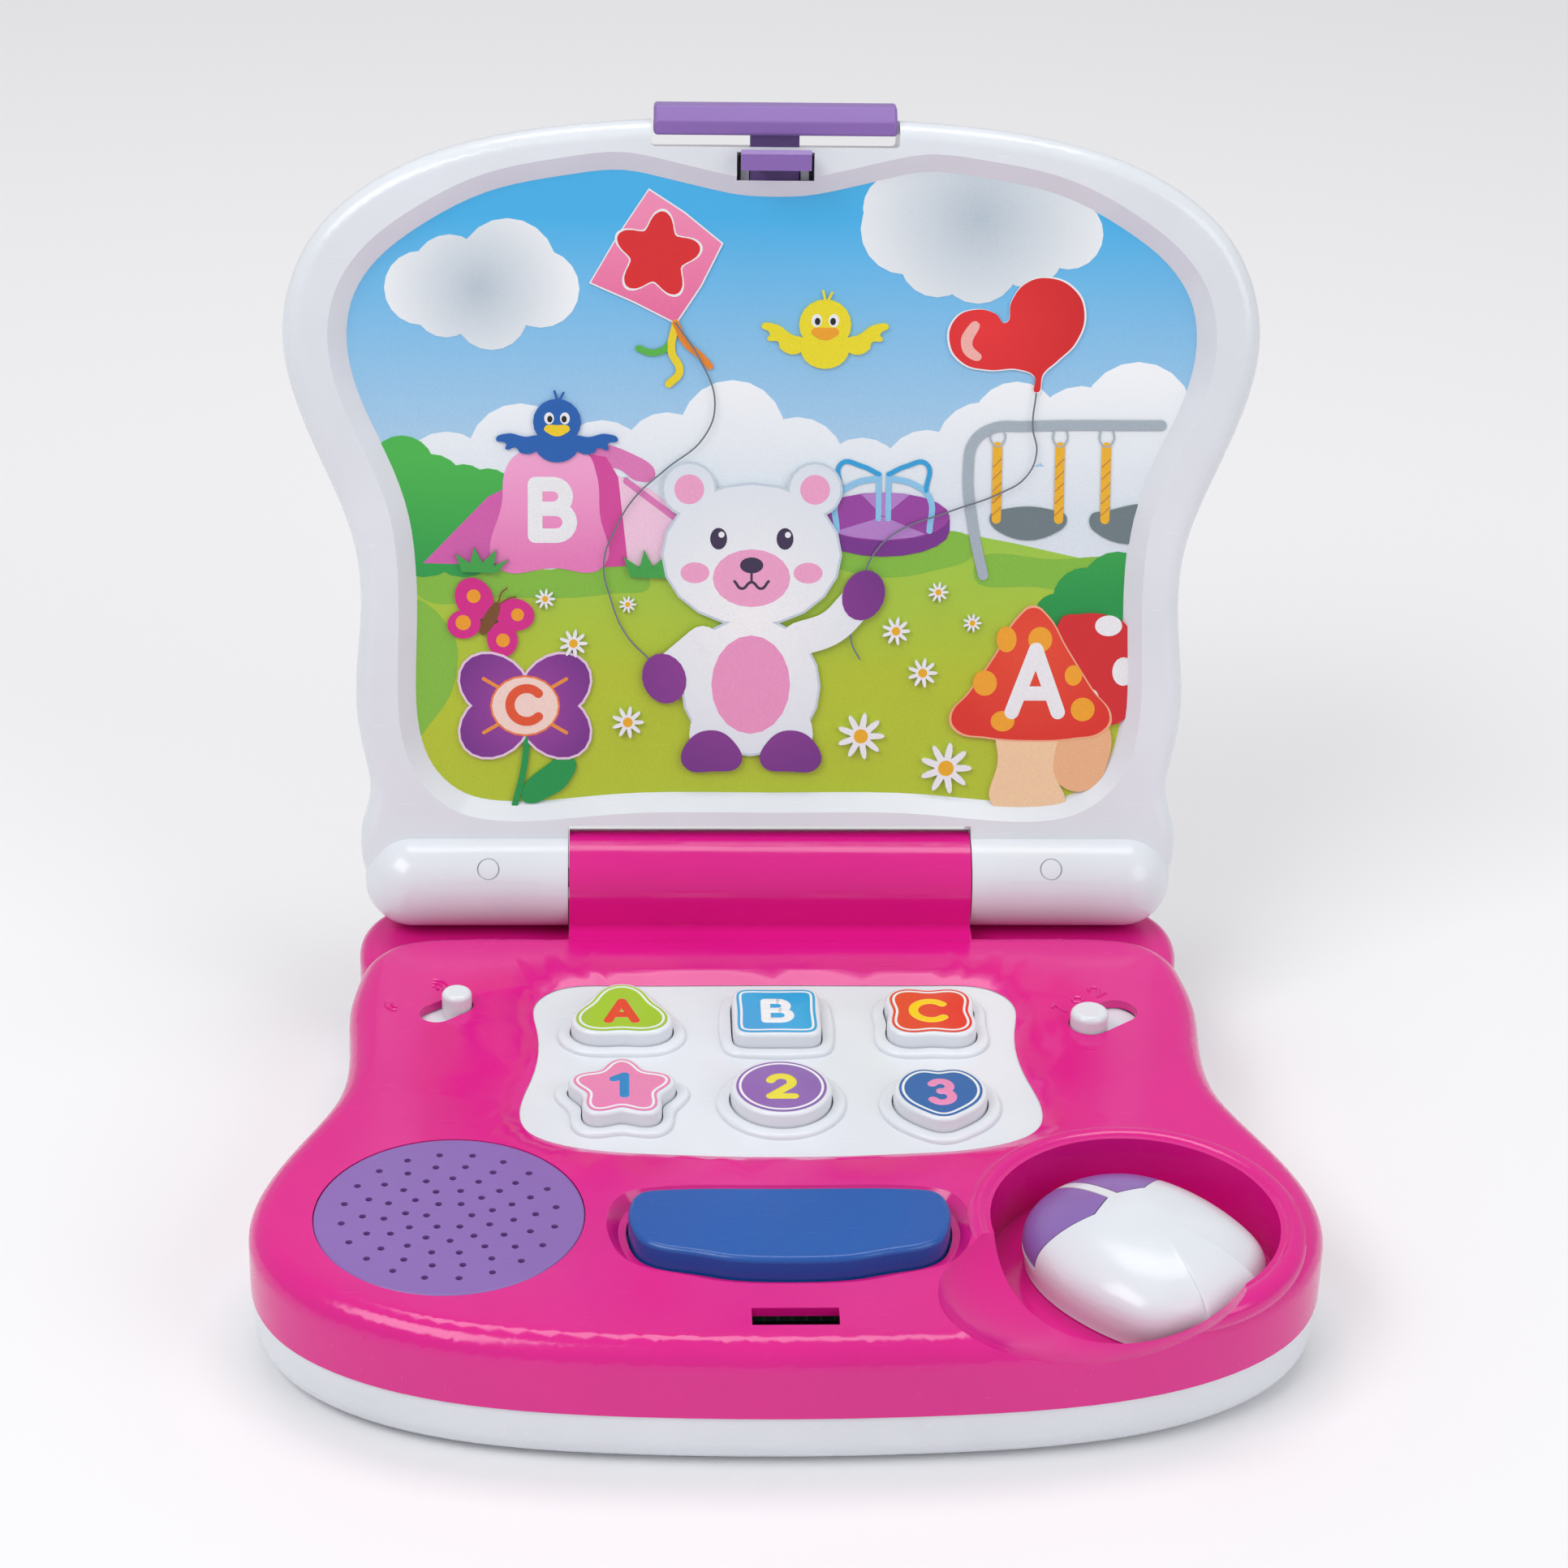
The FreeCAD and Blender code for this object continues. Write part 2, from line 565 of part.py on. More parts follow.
DOME_GAP = 0.02
domes = []
for letter, radius_at, column, row in KEYS:
    centre = key_centre(column, row)
    domes.append(dome(centre.x, centre.y, DOME_TOP_Z - DOME_GAP))
domes += [dome(x, y_of(146), DOME_TOP_Z - 0.6 - DOME_GAP) for x in (-24, 24)]
save("key_domes", Part.makeCompound(domes))
chip = Part.makeSphere(9.0, V(0, 0, -7.6)).common(box(-9, 9, -9, 9, 0, 3))
save("sound_chip", placed(chip, 52, 44, BOARD_TOP_Z))
board_screws = [placed(turned(screw(2.0, 0.85, 6), 180, V(0, 0, 0), X_AXIS), x, y, BOARD_Z)
                for x, y in BOARD_POSTS]
save("board_screws", Part.makeCompound(board_screws))

SLIDER_T = 2.0
SLIDER_Z = DECK_Z - WALL - GAP - SLIDER_T
KNOB_TOP_Z = 36.0
switch_bodies = []
for name, x, s, length, width, knob_r, rest_end in SWITCHES:
    travel = length - 2 * knob_r - 2 * GAP
    offset = rest_end * travel / 2
    plate = placed(obround(length + 3.0, width + 5.0, SLIDER_Z, SLIDER_Z + SLIDER_T), offset * 0.35, 0)
    knob = disc(offset, 0, knob_r, SLIDER_Z, KNOB_TOP_Z)
    knob = rounded(knob, KNOB_TOP_Z, knob_r * 0.35)
    lever = box(offset - 1, offset + 1, -1, 1, SLIDER_Z - 3.0, SLIDER_Z + 0.5)
    save(name + "_switch_knob", tilted(union(plate, knob, lever), x, y_of(s)))
    half = travel / 2 + 4
    body = box(-half, half, -3, 3, BOARD_TOP_Z, SLIDER_Z - GAP)
    groove = box(-half + 2, half - 2, -1.4, 1.4, BOARD_TOP_Z + 1.0, SLIDER_Z)
    switch_bodies.append(tilted(body.cut(groove), x, y_of(s)))
save("slide_switches", Part.makeCompound(switch_bodies))


# ---- speaker and its grille ---------------------------------------------------------
def speaker_grille():
    plate = disc(grille_x, grille_y, GRILLE_R, DECK_Z - GRILLE_T, DECK_Z)
    plate = rounded(plate, DECK_Z, 0.5)
    pins = []
    for ring, count in enumerate((6, 11, 15, 18, 20)):
        for k in range(count):
            angle = 2 * math.pi * (k + 0.35 * ring) / count
            reach = 5.0 + 4.7 * ring
            pins.append(disc(grille_x + reach * math.cos(angle), grille_y + reach * math.sin(angle),
                             HOLE_R, DECK_Z - GRILLE_T - 1, DECK_Z + 1))
    return plate.cut(Part.makeCompound(pins))


save("speaker_grille", speaker_grille())
speaker_top = DECK_Z - GRILLE_T - WALL - PRESS_CLEAR
basket = union(tube(grille_x, grille_y, SPEAKER_R, SPEAKER_R - 4, speaker_top - 2, speaker_top),
               Part.makeCone(10.5, SPEAKER_R - 3, 7, V(grille_x, grille_y, speaker_top - 9)))
basket = basket.cut(Part.makeCone(9.5, SPEAKER_R - 4, 7.3, V(grille_x, grille_y, speaker_top - 8.2)))
basket = basket.cut(disc(grille_x, grille_y, SPEAKER_R - 4, speaker_top - 1.9, speaker_top + 1))
save("speaker_frame", basket)
save("speaker_magnet", disc(grille_x, grille_y, 12, speaker_top - 16, speaker_top - 9))
cone = Part.makeCone(8.6, SPEAKER_R - 4.5, 6.4, V(grille_x, grille_y, speaker_top - 7.6))
cone = cone.cut(Part.makeCone(8.0, SPEAKER_R - 4.9, 6.4, V(grille_x, grille_y, speaker_top - 7.2)))
save("speaker_cone", cone)

# ---- wires between the board, the speaker and the battery contacts --------------------
WIRE_R = 0.6
speaker_wires = [wire([V(grille_x + 13 + 2 * k, grille_y + 4, speaker_top - 15 + 4 * k),
                       V(-58 + 2 * k, -30 - 2 * k, BOARD_Z - 4),
                       V(-58 + 2 * k, -20, BOARD_Z - WIRE_R)], WIRE_R) for k in (0, 1)]
save("speaker_wires", Part.makeCompound(speaker_wires))
battery_wires = [wire([V(side * (BAY_HALF_X + WALL + WIRE_R), cell_rows[1], cell_z),
                       V(side * (BAY_HALF_X + WALL + 8), cell_rows[1], cell_z + 2),
                       V(side * (BAY_HALF_X + WALL + 8), cell_rows[1], BOARD_Z - WIRE_R)], WIRE_R)
                 for side in (-1, 1)]
save("battery_wires", Part.makeCompound(battery_wires))


# ---- mouse -------------------------------------------------------------------------------
# The mouse is drawn with its nose along +Y and its pivot at the origin.
MOUSE_HALF = [(0, 28.5), (9, 26.8), (16.5, 21.5), (21.5, 12), (23.2, 0), (22, -12), (16.5, -22),
              (8.5, -27), (0, -28.2)]
MOUSE_BOTTOM_Z = WELL_FLOOR_Z + GAP
MOUSE_SKIRT_Z = 24.0


def mouse_outline(scale):
    return [V(x * scale, y * scale - MOUSE_OFFSET, 0) for x, y in MOUSE_HALF]


def mouse_dome(inset):
    """The mouse's outer form, or the same form set in all round."""
    rise = MOUSE_TOP_Z - MOUSE_SKIRT_Z
    width = 1 - inset / 24.0
    wires = [curve(mouse_outline(width * 0.97), MOUSE_BOTTOM_Z)]
    for degrees in (0, 15, 30, 43, 55, 66, 76, 84):
        angle = math.radians(degrees)
        wires.append(curve(mouse_outline(width * math.cos(angle)),
                           MOUSE_SKIRT_Z + (rise - inset) * math.sin(angle)))
    return Part.makeLoft(wires, True, False)


def mouse_placed(shape):
    return placed(turned(shape, MOUSE_TURN, V(0, 0, 0)), well_x, well_y)


BUTTON_GAP = 0.25
BUTTON_LOW_Z = 23.5       # lower edge of the mouse buttons
BUTTON_TRAVEL = 0.8
MOUSE_SCREW_Y = -18.0
MOUSE_SCREW_R = 0.95


def button_block(margin, low):
    """The left mouse button's plan, larger by a margin, from a height upwards."""
    points = [V(-1.6 + margin, 30, 0), V(-1.6 + margin, 7.5 - margin, 0), V(-8, 5.2 - margin, 0),
              V(-24, 11 - margin, 0), V(-24, 30, 0)]
    edges = [Part.LineSegment(a, b).toShape() for a, b in zip(points, points[1:] + points[:1])]
    return placed(Part.Face(Part.Wire(edges)).extrude(V(0, 0, 60)), 0, 0, low)


mouse_outer = mouse_dome(0)
mouse_inner = mouse_dome(MOUSE_WALL)
mouse_shell = mouse_outer.cut(mouse_inner).cut(box(-40, 40, -50, 50, 0, MOUSE_BOTTOM_Z + 1.8))
for half_cut in both_sides(button_block(BUTTON_GAP, BUTTON_LOW_Z - BUTTON_TRAVEL - BUTTON_GAP)):
    mouse_shell = mouse_shell.cut(half_cut)
mouse_post = tube(0, MOUSE_SCREW_Y, 2.8, MOUSE_SCREW_R + PRESS_CLEAR, MOUSE_BOTTOM_Z + 3.2, MOUSE_TOP_Z)
mouse_shell = union(mouse_shell, mouse_post.common(mouse_dome(MOUSE_WALL / 2)))
save("mouse_shell", mouse_placed(mouse_shell))
base_plate = mouse_outer.common(box(-40, 40, -50, 50, 0, MOUSE_BOTTOM_Z + 1.8))
base_plate = union(base_plate, disc(0, MOUSE_SCREW_Y, 3.4, MOUSE_BOTTOM_Z, MOUSE_BOTTOM_Z + 3.2))
pivot = disc(0, 0, PIVOT_R - PIN_CLEAR, WELL_FLOOR_Z - WALL - 1.0, MOUSE_BOTTOM_Z + 0.5)
base_plate = union(base_plate, pivot).cut(disc(0, 0, 1.2, 0, MOUSE_BOTTOM_Z + 5))
base_plate = base_plate.cut(disc(0, MOUSE_SCREW_Y, MOUSE_SCREW_R + 0.2, 0, MOUSE_BOTTOM_Z + 5))
base_plate = base_plate.cut(disc(0, MOUSE_SCREW_Y, 2.3, 0, MOUSE_BOTTOM_Z + 1.6))
save("mouse_base", mouse_placed(base_plate))
skin = mouse_outer.cut(mouse_dome(MOUSE_WALL - 0.2))
for side_name, half in zip(("left", "right"), both_sides(button_block(0, BUTTON_LOW_Z))):
    save("mouse_button_" + side_name, mouse_placed(skin.common(half)))
pivot_head = placed(turned(screw(3.4, 1.1, 5), 180, V(0, 0, 0), X_AXIS), 0, 0, WELL_FLOOR_Z - WALL - 1.5)
washer = tube(0, 0, 6.5, 1.4, WELL_FLOOR_Z - WALL - 1.45, WELL_FLOOR_Z - WALL - 1.0)
save("mouse_pivot_screw", mouse_placed(pivot_head))
save("mouse_pivot_washer", mouse_placed(washer))
mouse_screw = turned(screw(2.0, MOUSE_SCREW_R, 7), 180, V(0, 0, 0), X_AXIS)
save("mouse_screw", mouse_placed(placed(mouse_screw, 0, MOUSE_SCREW_Y, MOUSE_BOTTOM_Z + 1.6 - PRESS_CLEAR)))
mouse_board = box(-11, 11, 3, 17, MOUSE_BOTTOM_Z + 3.0, MOUSE_BOTTOM_Z + 4.2)
stands = [disc(x, 6, 1.2, MOUSE_BOTTOM_Z + 1.8, MOUSE_BOTTOM_Z + 3.0) for x in (-8, 8)]
save("mouse_board", mouse_placed(union(mouse_board, *stands)))
tacts = []
for x in (-7, 7):
    tact = union(box(x - 2.5, x + 2.5, 9, 14, MOUSE_BOTTOM_Z + 4.2, MOUSE_BOTTOM_Z + 6.5),
                 disc(x, 11.5, 1.2, MOUSE_BOTTOM_Z + 6, MOUSE_BOTTOM_Z + 7.6))
    tacts.append(mouse_placed(tact))
save("mouse_switches", Part.makeCompound(tacts))

# ---- screws and hinge pins of the base ---------------------------------------------------
case_screws = [placed(turned(screw(HEAD_R, SCREW_R - PRESS_CLEAR, 12), 180, V(0, 0, 0), X_AXIS),
                      x, y, HEAD_DEPTH - PRESS_CLEAR) for x, y in CASE_POSTS]
save("case_screws", Part.makeCompound(case_screws))
PIN_X = (34.0, 66.0)
save("hinge_pins", Part.makeCompound(both_sides(rod(PIN_R, *PIN_X))))

# ---- lid bezel -----------------------------------------------------------------------------
BARREL_START_X = CENTRE_BARREL_HALF + GAP
NOTCH_S = BAR_BACK_S - LATCH_TRAVEL - 2 * GAP
NOTCH_HALF = BAR_HALF + 2 * GAP
NOTCH_ROUND = 1.0
HOOK_HOLE_S = (173.6, 180.4)
LID_POSTS = [(98.5, 163.0), (112.7, 131.0), (95.2, 54.0)]
LID_SCREW_LENGTH = 9.0
WITNESS_X = 70.0          # mark left by the mould's ejector pin on each barrel
WITNESS_TURN = 22.0


def notch(low, high):
    """Room for the latch push bar in the lid's front edge."""
    room = box(-NOTCH_HALF, NOTCH_HALF, y_of(200), y_of(NOTCH_S), low, high)
    corners = [e for e in room.Edges if abs(e.Vertexes[0].Z - e.Vertexes[1].Z) > 1
               and e.Vertexes[0].Y > y_of(NOTCH_S) - 0.1]
    return room.makeFillet(NOTCH_ROUND, corners)


def lid_bezel():
    plate = rounded(prism(LID, z_of(BEZEL_T), z_of(LID_JOINT_T)), z_of(BEZEL_T), BEZEL_ROUND)
    plate = plate.cut(notch(z_of(-30), z_of(30)))
    hollow = prism(grown(LID, -WALL), z_of(BEZEL_T + WALL), z_of(LID_JOINT_T + 1))
    hollow = hollow.cut(box(-120, 120, y_of(14), 200, 0, 60))
    ledge = prism(grown(PICTURE, BEZEL_BEVEL + WALL), 0, z_of(PICTURE_T))
    wall = box(-NOTCH_HALF - WALL, NOTCH_HALF + WALL, y_of(200), y_of(NOTCH_S - WALL), 0, 60)
    plate = plate.cut(hollow.cut(ledge).cut(wall))
    plate = plate.cut(box(-BARREL_START_X, BARREL_START_X, y_of(14.2), 200, 0, 60))
    parts = []
    for side in (-1, 1):
        barrel = union(rod(BARREL_R, BARREL_START_X, BARREL_END_X),
                       Part.makeSphere(BARREL_R, V(BARREL_END_X, HINGE_Y, HINGE_Z)))
        parts.append(barrel if side > 0 else barrel.mirror(V(0, 0, 0), X_AXIS))
    posts = []
    for x, s in LID_POSTS:
        posts += both_sides(disc(x, y_of(s), 3.3, z_of(BEZEL_T + 1), z_of(LID_JOINT_T)))
    lid = union(plate, *parts, *posts)
    cuts = [taper(grown(PICTURE, BEZEL_BEVEL), z_of(BEZEL_T) - 0.001, PICTURE, z_of(PICTURE_T)),
            prism(PICTURE, z_of(PICTURE_T) - 0.1, z_of(LID_JOINT_T + 1)),
            box(-SLOT_HALF, SLOT_HALF, y_of(HOOK_HOLE_S[1]), y_of(HOOK_HOLE_S[0]), 0, 60)]
    cuts.append(box(-STEM_HALF - GAP, STEM_HALF + GAP, y_of(190), y_of(172), z_of(STEM_T0 - GAP), 60))
    for side in both_sides(rod(BARREL_R - WALL, BARREL_START_X + WALL, BARREL_END_X - 2)):
        cuts.append(side)
    cuts += both_sides(rod(PIN_R + PIN_CLEAR, 40, 70))
    ring = tube(WITNESS_X, HINGE_Y, 2.8, 2.45, z_of(-BARREL_R - 2), z_of(-BARREL_R + 0.7))
    cuts += both_sides(turned(ring, -WITNESS_TURN, V(0, HINGE_Y, HINGE_Z), X_AXIS))
    for x, s in LID_POSTS:
        cuts += both_sides(disc(x, y_of(s), 1.2, z_of(BEZEL_T + 2), 60))
    lid = carve(lid, cuts)
    ribs = both_sides(rod(BARREL_R - 1, 62, 64).cut(rod(PIN_R + PIN_CLEAR, 60, 66)))
    return union(lid, *ribs)


STEM_HALF = 6.0
STEM_T0 = 1.6
STEM_T1 = 4.6
save("lid_bezel", opened(lid_bezel()))


# ---- printed picture and the panel behind it ---------------------------------------------------
print_sheet = prism(grown(PICTURE, 2.4), z_of(PICTURE_T), z_of(PICTURE_T + PRINT_T))
screen_panel = prism(grown(PICTURE, 2.8), z_of(PICTURE_T + PRINT_T), z_of(PICTURE_T + PRINT_T + PANEL_T))
latch_room = box(-SLOT_HALF - 1, SLOT_HALF + 1, y_of(190), y_of(HOOK_HOLE_S[0] - 1), 0, 60)
save("screen_print", opened(print_sheet.cut(latch_room)))
save("screen_panel", opened(screen_panel.cut(latch_room)))


# ---- lid back cover -----------------------------------------------------------------------------
SPRING_S = (150.0, 161.0)
GUIDE_W = 2.0


def lid_back():
    cover = rounded(prism(LID, z_of(LID_JOINT_T), z_of(LID_BACK_T)), z_of(LID_BACK_T), BACK_ROUND)
    hollow = prism(grown(LID, -WALL), z_of(LID_JOINT_T) - 1, z_of(LID_BACK_T - WALL))
    hollow = rounded(hollow, z_of(LID_BACK_T - WALL), BACK_ROUND - WALL)
    hollow = hollow.cut(box(-120, 120, y_of(17), 200, 0, 60))
    wall = box(-NOTCH_HALF - WALL, NOTCH_HALF + WALL, y_of(200), y_of(NOTCH_S - WALL), 0, 60)
    cover = cover.cut(hollow.cut(wall)).cut(notch(z_of(-30), z_of(30)))
    adds = []
    under = z_of(LID_JOINT_T)
    over = z_of(LID_BACK_T - 1)
    for x, s in LID_POSTS:
        adds += both_sides(disc(x, y_of(s), 3.3, under, over))
    panel_back = z_of(PICTURE_T + PRINT_T + PANEL_T) + PRESS_CLEAR
    for x, s in ((60, 60), (80, 130), (45, 150), (0, 40)):
        adds += both_sides(disc(x, y_of(s), 2.5, panel_back, over))
    guide_x = STEM_HALF + GAP
    for side in (-1, 1):
        low_x = min(side * guide_x, side * (guide_x + GUIDE_W))
        adds.append(box(low_x, low_x + GUIDE_W, y_of(180), y_of(SPRING_S[0]), panel_back, over))
    adds.append(box(-guide_x - GUIDE_W, guide_x + GUIDE_W, y_of(SPRING_S[0]),
                    y_of(SPRING_S[0] - 2), panel_back, over))
    cover = union(cover, *adds)
    cuts = [rod(BARREL_R + 0.05, -110, 110), box(-120, 120, y_of(5), 200, 0, 60)]
    cuts.append(box(-BARREL_START_X, BARREL_START_X, y_of(14.2), 200, 0, 60))
    cuts.append(box(-STEM_HALF - GAP, STEM_HALF + GAP, y_of(190), y_of(172), 0, z_of(STEM_T1 + GAP)))
    for x, s in LID_POSTS:
        cuts += both_sides(disc(x, y_of(s), 1.5, 0, 60))
        cuts += both_sides(disc(x, y_of(s), 2.6, z_of(LID_BACK_T - 6), 60))
    cover = carve(cover, cuts)
    pads = []
    for angle_x in (56, 66, 76):
        pads += both_sides(disc(angle_x, y_of(176 - 0.35 * (angle_x - 56)), 2.2,
                                z_of(LID_BACK_T - 1.5), z_of(LID_BACK_T + 0.6)))
    return union(cover, *pads)


save("lid_back", opened(lid_back()))
lid_screws = []
for x, s in LID_POSTS:
    lid_screw = screw(2.3, 1.15, LID_SCREW_LENGTH)
    lid_screws += both_sides(placed(lid_screw, x, y_of(s), z_of(LID_BACK_T - 6) + PRESS_CLEAR))
save("lid_screws", opened(Part.makeCompound(lid_screws)))


# ---- latch: one sprung slider with its push bar, stem and hook ----------------------------------
def latch_slider():
    profile = [(BAR_BACK_S, BEZEL_T + 0.4), (187.6, BEZEL_T + 0.2), (191.4, -2.0), (192.2, 2.0),
               (191.4, 8.0), (188.5, 11.0), (BAR_BACK_S, 11.4)]
    corners = [V(-BAR_HALF, y_of(s), z_of(t)) for s, t in profile]
    edges = [Part.LineSegment(a, b).toShape() for a, b in zip(corners, corners[1:] + corners[:1])]
    bar = Part.Face(Part.Wire(edges)).extrude(V(2 * BAR_HALF, 0, 0))
    bar = bar.makeFillet(0.9, bar.Edges)
    stem = box(-STEM_HALF, STEM_HALF, y_of(186), y_of(SPRING_S[1] + 0.5), z_of(STEM_T0), z_of(STEM_T1))
    tongue_low = z_of(HOOK_T0)
    tongue = box(-4.2, 4.2, y_of(178.6), y_of(176.2), tongue_low, z_of(STEM_T1))
    hook = box(-HOOK_HALF, HOOK_HALF, y_of(181.1), y_of(176.2), tongue_low, z_of(HOOK_T1))
    ramp = [e for e in hook.Edges if abs(e.CenterOfMass.y - y_of(181.1)) < 0.01
            and abs(e.CenterOfMass.z - tongue_low) < 0.01]
    return union(bar, stem, tongue, hook.makeChamfer(1.0, ramp))


HOOK_T0 = -10.2
HOOK_T1 = -8.5
save("latch_slider", opened(latch_slider()))
latch_spring = helix_spring(1.9, 0.3, SPRING_S[1] - SPRING_S[0] + 0.5 - 2 * PRESS_CLEAR, 7)
latch_spring = turned(latch_spring, 90, V(0, 0, 0), X_AXIS)
spring_y = y_of(SPRING_S[0]) - PRESS_CLEAR
save("latch_spring", opened(placed(latch_spring, 0, spring_y, z_of((STEM_T0 + STEM_T1) / 2 + 0.6))))
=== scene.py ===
import json
import math

import bmesh
import bpy
from mathutils import Matrix, Vector


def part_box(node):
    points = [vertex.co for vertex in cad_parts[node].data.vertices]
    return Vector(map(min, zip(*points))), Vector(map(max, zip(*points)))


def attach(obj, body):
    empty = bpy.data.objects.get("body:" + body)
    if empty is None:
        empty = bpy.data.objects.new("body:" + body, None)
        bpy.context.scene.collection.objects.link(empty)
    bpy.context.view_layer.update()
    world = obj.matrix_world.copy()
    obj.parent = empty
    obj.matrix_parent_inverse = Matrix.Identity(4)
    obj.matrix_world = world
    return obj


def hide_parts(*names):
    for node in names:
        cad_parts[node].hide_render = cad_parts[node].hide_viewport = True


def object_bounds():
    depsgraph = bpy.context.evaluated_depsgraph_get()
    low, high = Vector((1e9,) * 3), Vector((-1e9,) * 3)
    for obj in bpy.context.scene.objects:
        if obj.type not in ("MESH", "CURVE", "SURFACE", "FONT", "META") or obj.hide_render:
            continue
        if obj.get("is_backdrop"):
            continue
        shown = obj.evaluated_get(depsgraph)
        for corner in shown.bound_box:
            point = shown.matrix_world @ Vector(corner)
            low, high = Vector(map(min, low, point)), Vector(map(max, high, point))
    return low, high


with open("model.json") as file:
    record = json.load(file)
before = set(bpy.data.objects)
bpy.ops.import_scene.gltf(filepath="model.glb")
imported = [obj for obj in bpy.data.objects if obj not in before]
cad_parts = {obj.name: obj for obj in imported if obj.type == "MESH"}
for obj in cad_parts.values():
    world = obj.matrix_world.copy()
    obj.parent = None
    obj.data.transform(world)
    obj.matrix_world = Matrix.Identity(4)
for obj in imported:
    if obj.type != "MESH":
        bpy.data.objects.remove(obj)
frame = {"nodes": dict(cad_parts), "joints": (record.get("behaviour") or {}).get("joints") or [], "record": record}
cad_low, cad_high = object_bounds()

MM = 0.001


# ---- table, lamps and camera ---------------------------------------------------------
# The toy stands on a plain pale table. Three large soft lamps and a bright room
# give broad, clean reflections on its glossy plastic.
def colour(code):
    """A hex colour as the linear numbers that a shader takes."""
    numbers = [int(code[k:k + 2], 16) / 255 for k in (1, 3, 5)]
    return [n / 12.92 if n < 0.04045 else ((n + 0.055) / 1.055) ** 2.4 for n in numbers] + [1.0]


def new_material(name):
    material = bpy.data.materials.new(name)
    material.use_nodes = True
    return material, material.node_tree.nodes, material.node_tree.links


def add_mesh(name, bm, *materials):
    mesh = bpy.data.meshes.new(name)
    bm.to_mesh(mesh)
    bm.free()
    for material in materials:
        mesh.materials.append(material)
    thing = bpy.data.objects.new(name, mesh)
    bpy.context.scene.collection.objects.link(thing)
    return thing


table_top, nodes, links = new_material("pale_table")
nodes["Principled BSDF"].inputs["Base Color"].default_value = colour("#F4F4F6")
nodes["Principled BSDF"].inputs["Roughness"].default_value = 0.5
TABLE_GAP = 0.3 * MM      # keeps the two faces apart under the toy
bm = bmesh.new()
bmesh.ops.create_grid(bm, x_segments=1, y_segments=1, size=4.0)
bmesh.ops.translate(bm, verts=bm.verts, vec=(0, 0, cad_low.z - TABLE_GAP))
add_mesh("table", bm, table_top)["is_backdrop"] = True

bpy.context.scene.view_settings.view_transform = "Standard"
world = bpy.data.worlds.new("room")
bpy.context.scene.world = world
world.use_nodes = True
world.node_tree.nodes["Background"].inputs["Color"].default_value = colour("#FFFFFF")
world.node_tree.nodes["Background"].inputs["Strength"].default_value = 0.5

# name, place, width and height, watts
for name, place, width, height, power in (("key_lamp", (-0.9, -0.7, 1.5), 1.1, 0.8, 12),
                                          ("fill_lamp", (1.2, -0.9, 1.0), 1.0, 1.0, 6),
                                          ("top_lamp", (0.1, 0.5, 1.7), 1.2, 0.6, 8)):
    lamp = bpy.data.lights.new(name, "AREA")
    lamp.shape = "RECTANGLE"
    lamp.size = width
    lamp.size_y = height
    lamp.energy = power
    holder = bpy.data.objects.new(name, lamp)
    bpy.context.scene.collection.objects.link(holder)
    holder.location = place
    holder.rotation_mode = "QUATERNION"
    aim = Vector((0, 0, 0.08)) - Vector(place)
    holder.rotation_quaternion = aim.to_track_quat("-Z", "Y")

CAMERA_PLACE = Vector((-0.0395, -0.7896, 0.5471))
CAMERA_AIM = Vector((0.0427, 0.8754, -0.4816))
CAMERA_ROLL = math.radians(1.42)
camera = bpy.data.cameras.new("camera")
camera.lens = 92.6
camera.clip_end = 50
stand = bpy.data.objects.new("camera", camera)
bpy.context.scene.collection.objects.link(stand)
stand.location = CAMERA_PLACE
stand.rotation_mode = "QUATERNION"
stand.rotation_quaternion = (CAMERA_AIM.to_track_quat("-Z", "Y")
                             @ Matrix.Rotation(CAMERA_ROLL, 3, "Z").to_quaternion())
bpy.context.scene.camera = stand


# ---- bottom shell --------------------------------------------------------------------
# A white tray, injection moulded in glossy ABS, with the battery bay let into its
# underside. Six screws pull it up against the top shell.
def noise(nodes, links, source, scale, detail=4.0, stretch=(1, 1, 1)):
    """A noise over the piece, so many waves to the metre, drawn out along some axes."""
    mapping = nodes.new("ShaderNodeMapping")
    mapping.inputs["Scale"].default_value = stretch
    links.new(source.outputs["Object"], mapping.inputs["Vector"])
    texture = nodes.new("ShaderNodeTexNoise")
    texture.inputs["Scale"].default_value = scale
    texture.inputs["Detail"].default_value = detail
    links.new(mapping.outputs["Vector"], texture.inputs["Vector"])
    return texture.outputs["Fac"]


def ranged(nodes, links, value, low, high, start=0.3, end=0.7):
    """A value spread between two limits."""
    spread = nodes.new("ShaderNodeMapRange")
    spread.inputs["From Min"].default_value = start
    spread.inputs["From Max"].default_value = end
    spread.inputs["To Min"].default_value = low
    spread.inputs["To Max"].default_value = high
    links.new(value, spread.inputs["Value"])
    return spread.outputs["Result"]


def mixed(nodes, links, amount, first, second):
    """Two colours, or links to colours, mixed by a linked amount."""
    mix = nodes.new("ShaderNodeMix")
    mix.data_type = "RGBA"
    links.new(amount, mix.inputs["Factor"])
    for socket, value in ((mix.inputs[6], first), (mix.inputs[7], second)):
        if isinstance(value, bpy.types.NodeSocket):
            links.new(value, socket)
        else:
            socket.default_value = value
    return mix.outputs[2]


def bumped(nodes, links, height, strength, depth, under=None):
    """A bump whose full height is a depth in metres, laid over an earlier one."""
    bump = nodes.new("ShaderNodeBump")
    bump.inputs["Strength"].default_value = strength
    bump.inputs["Distance"].default_value = depth
    links.new(height, bump.inputs["Height"])
    if under:
        links.new(under, bump.inputs["Normal"])
    return bump.outputs["Normal"]


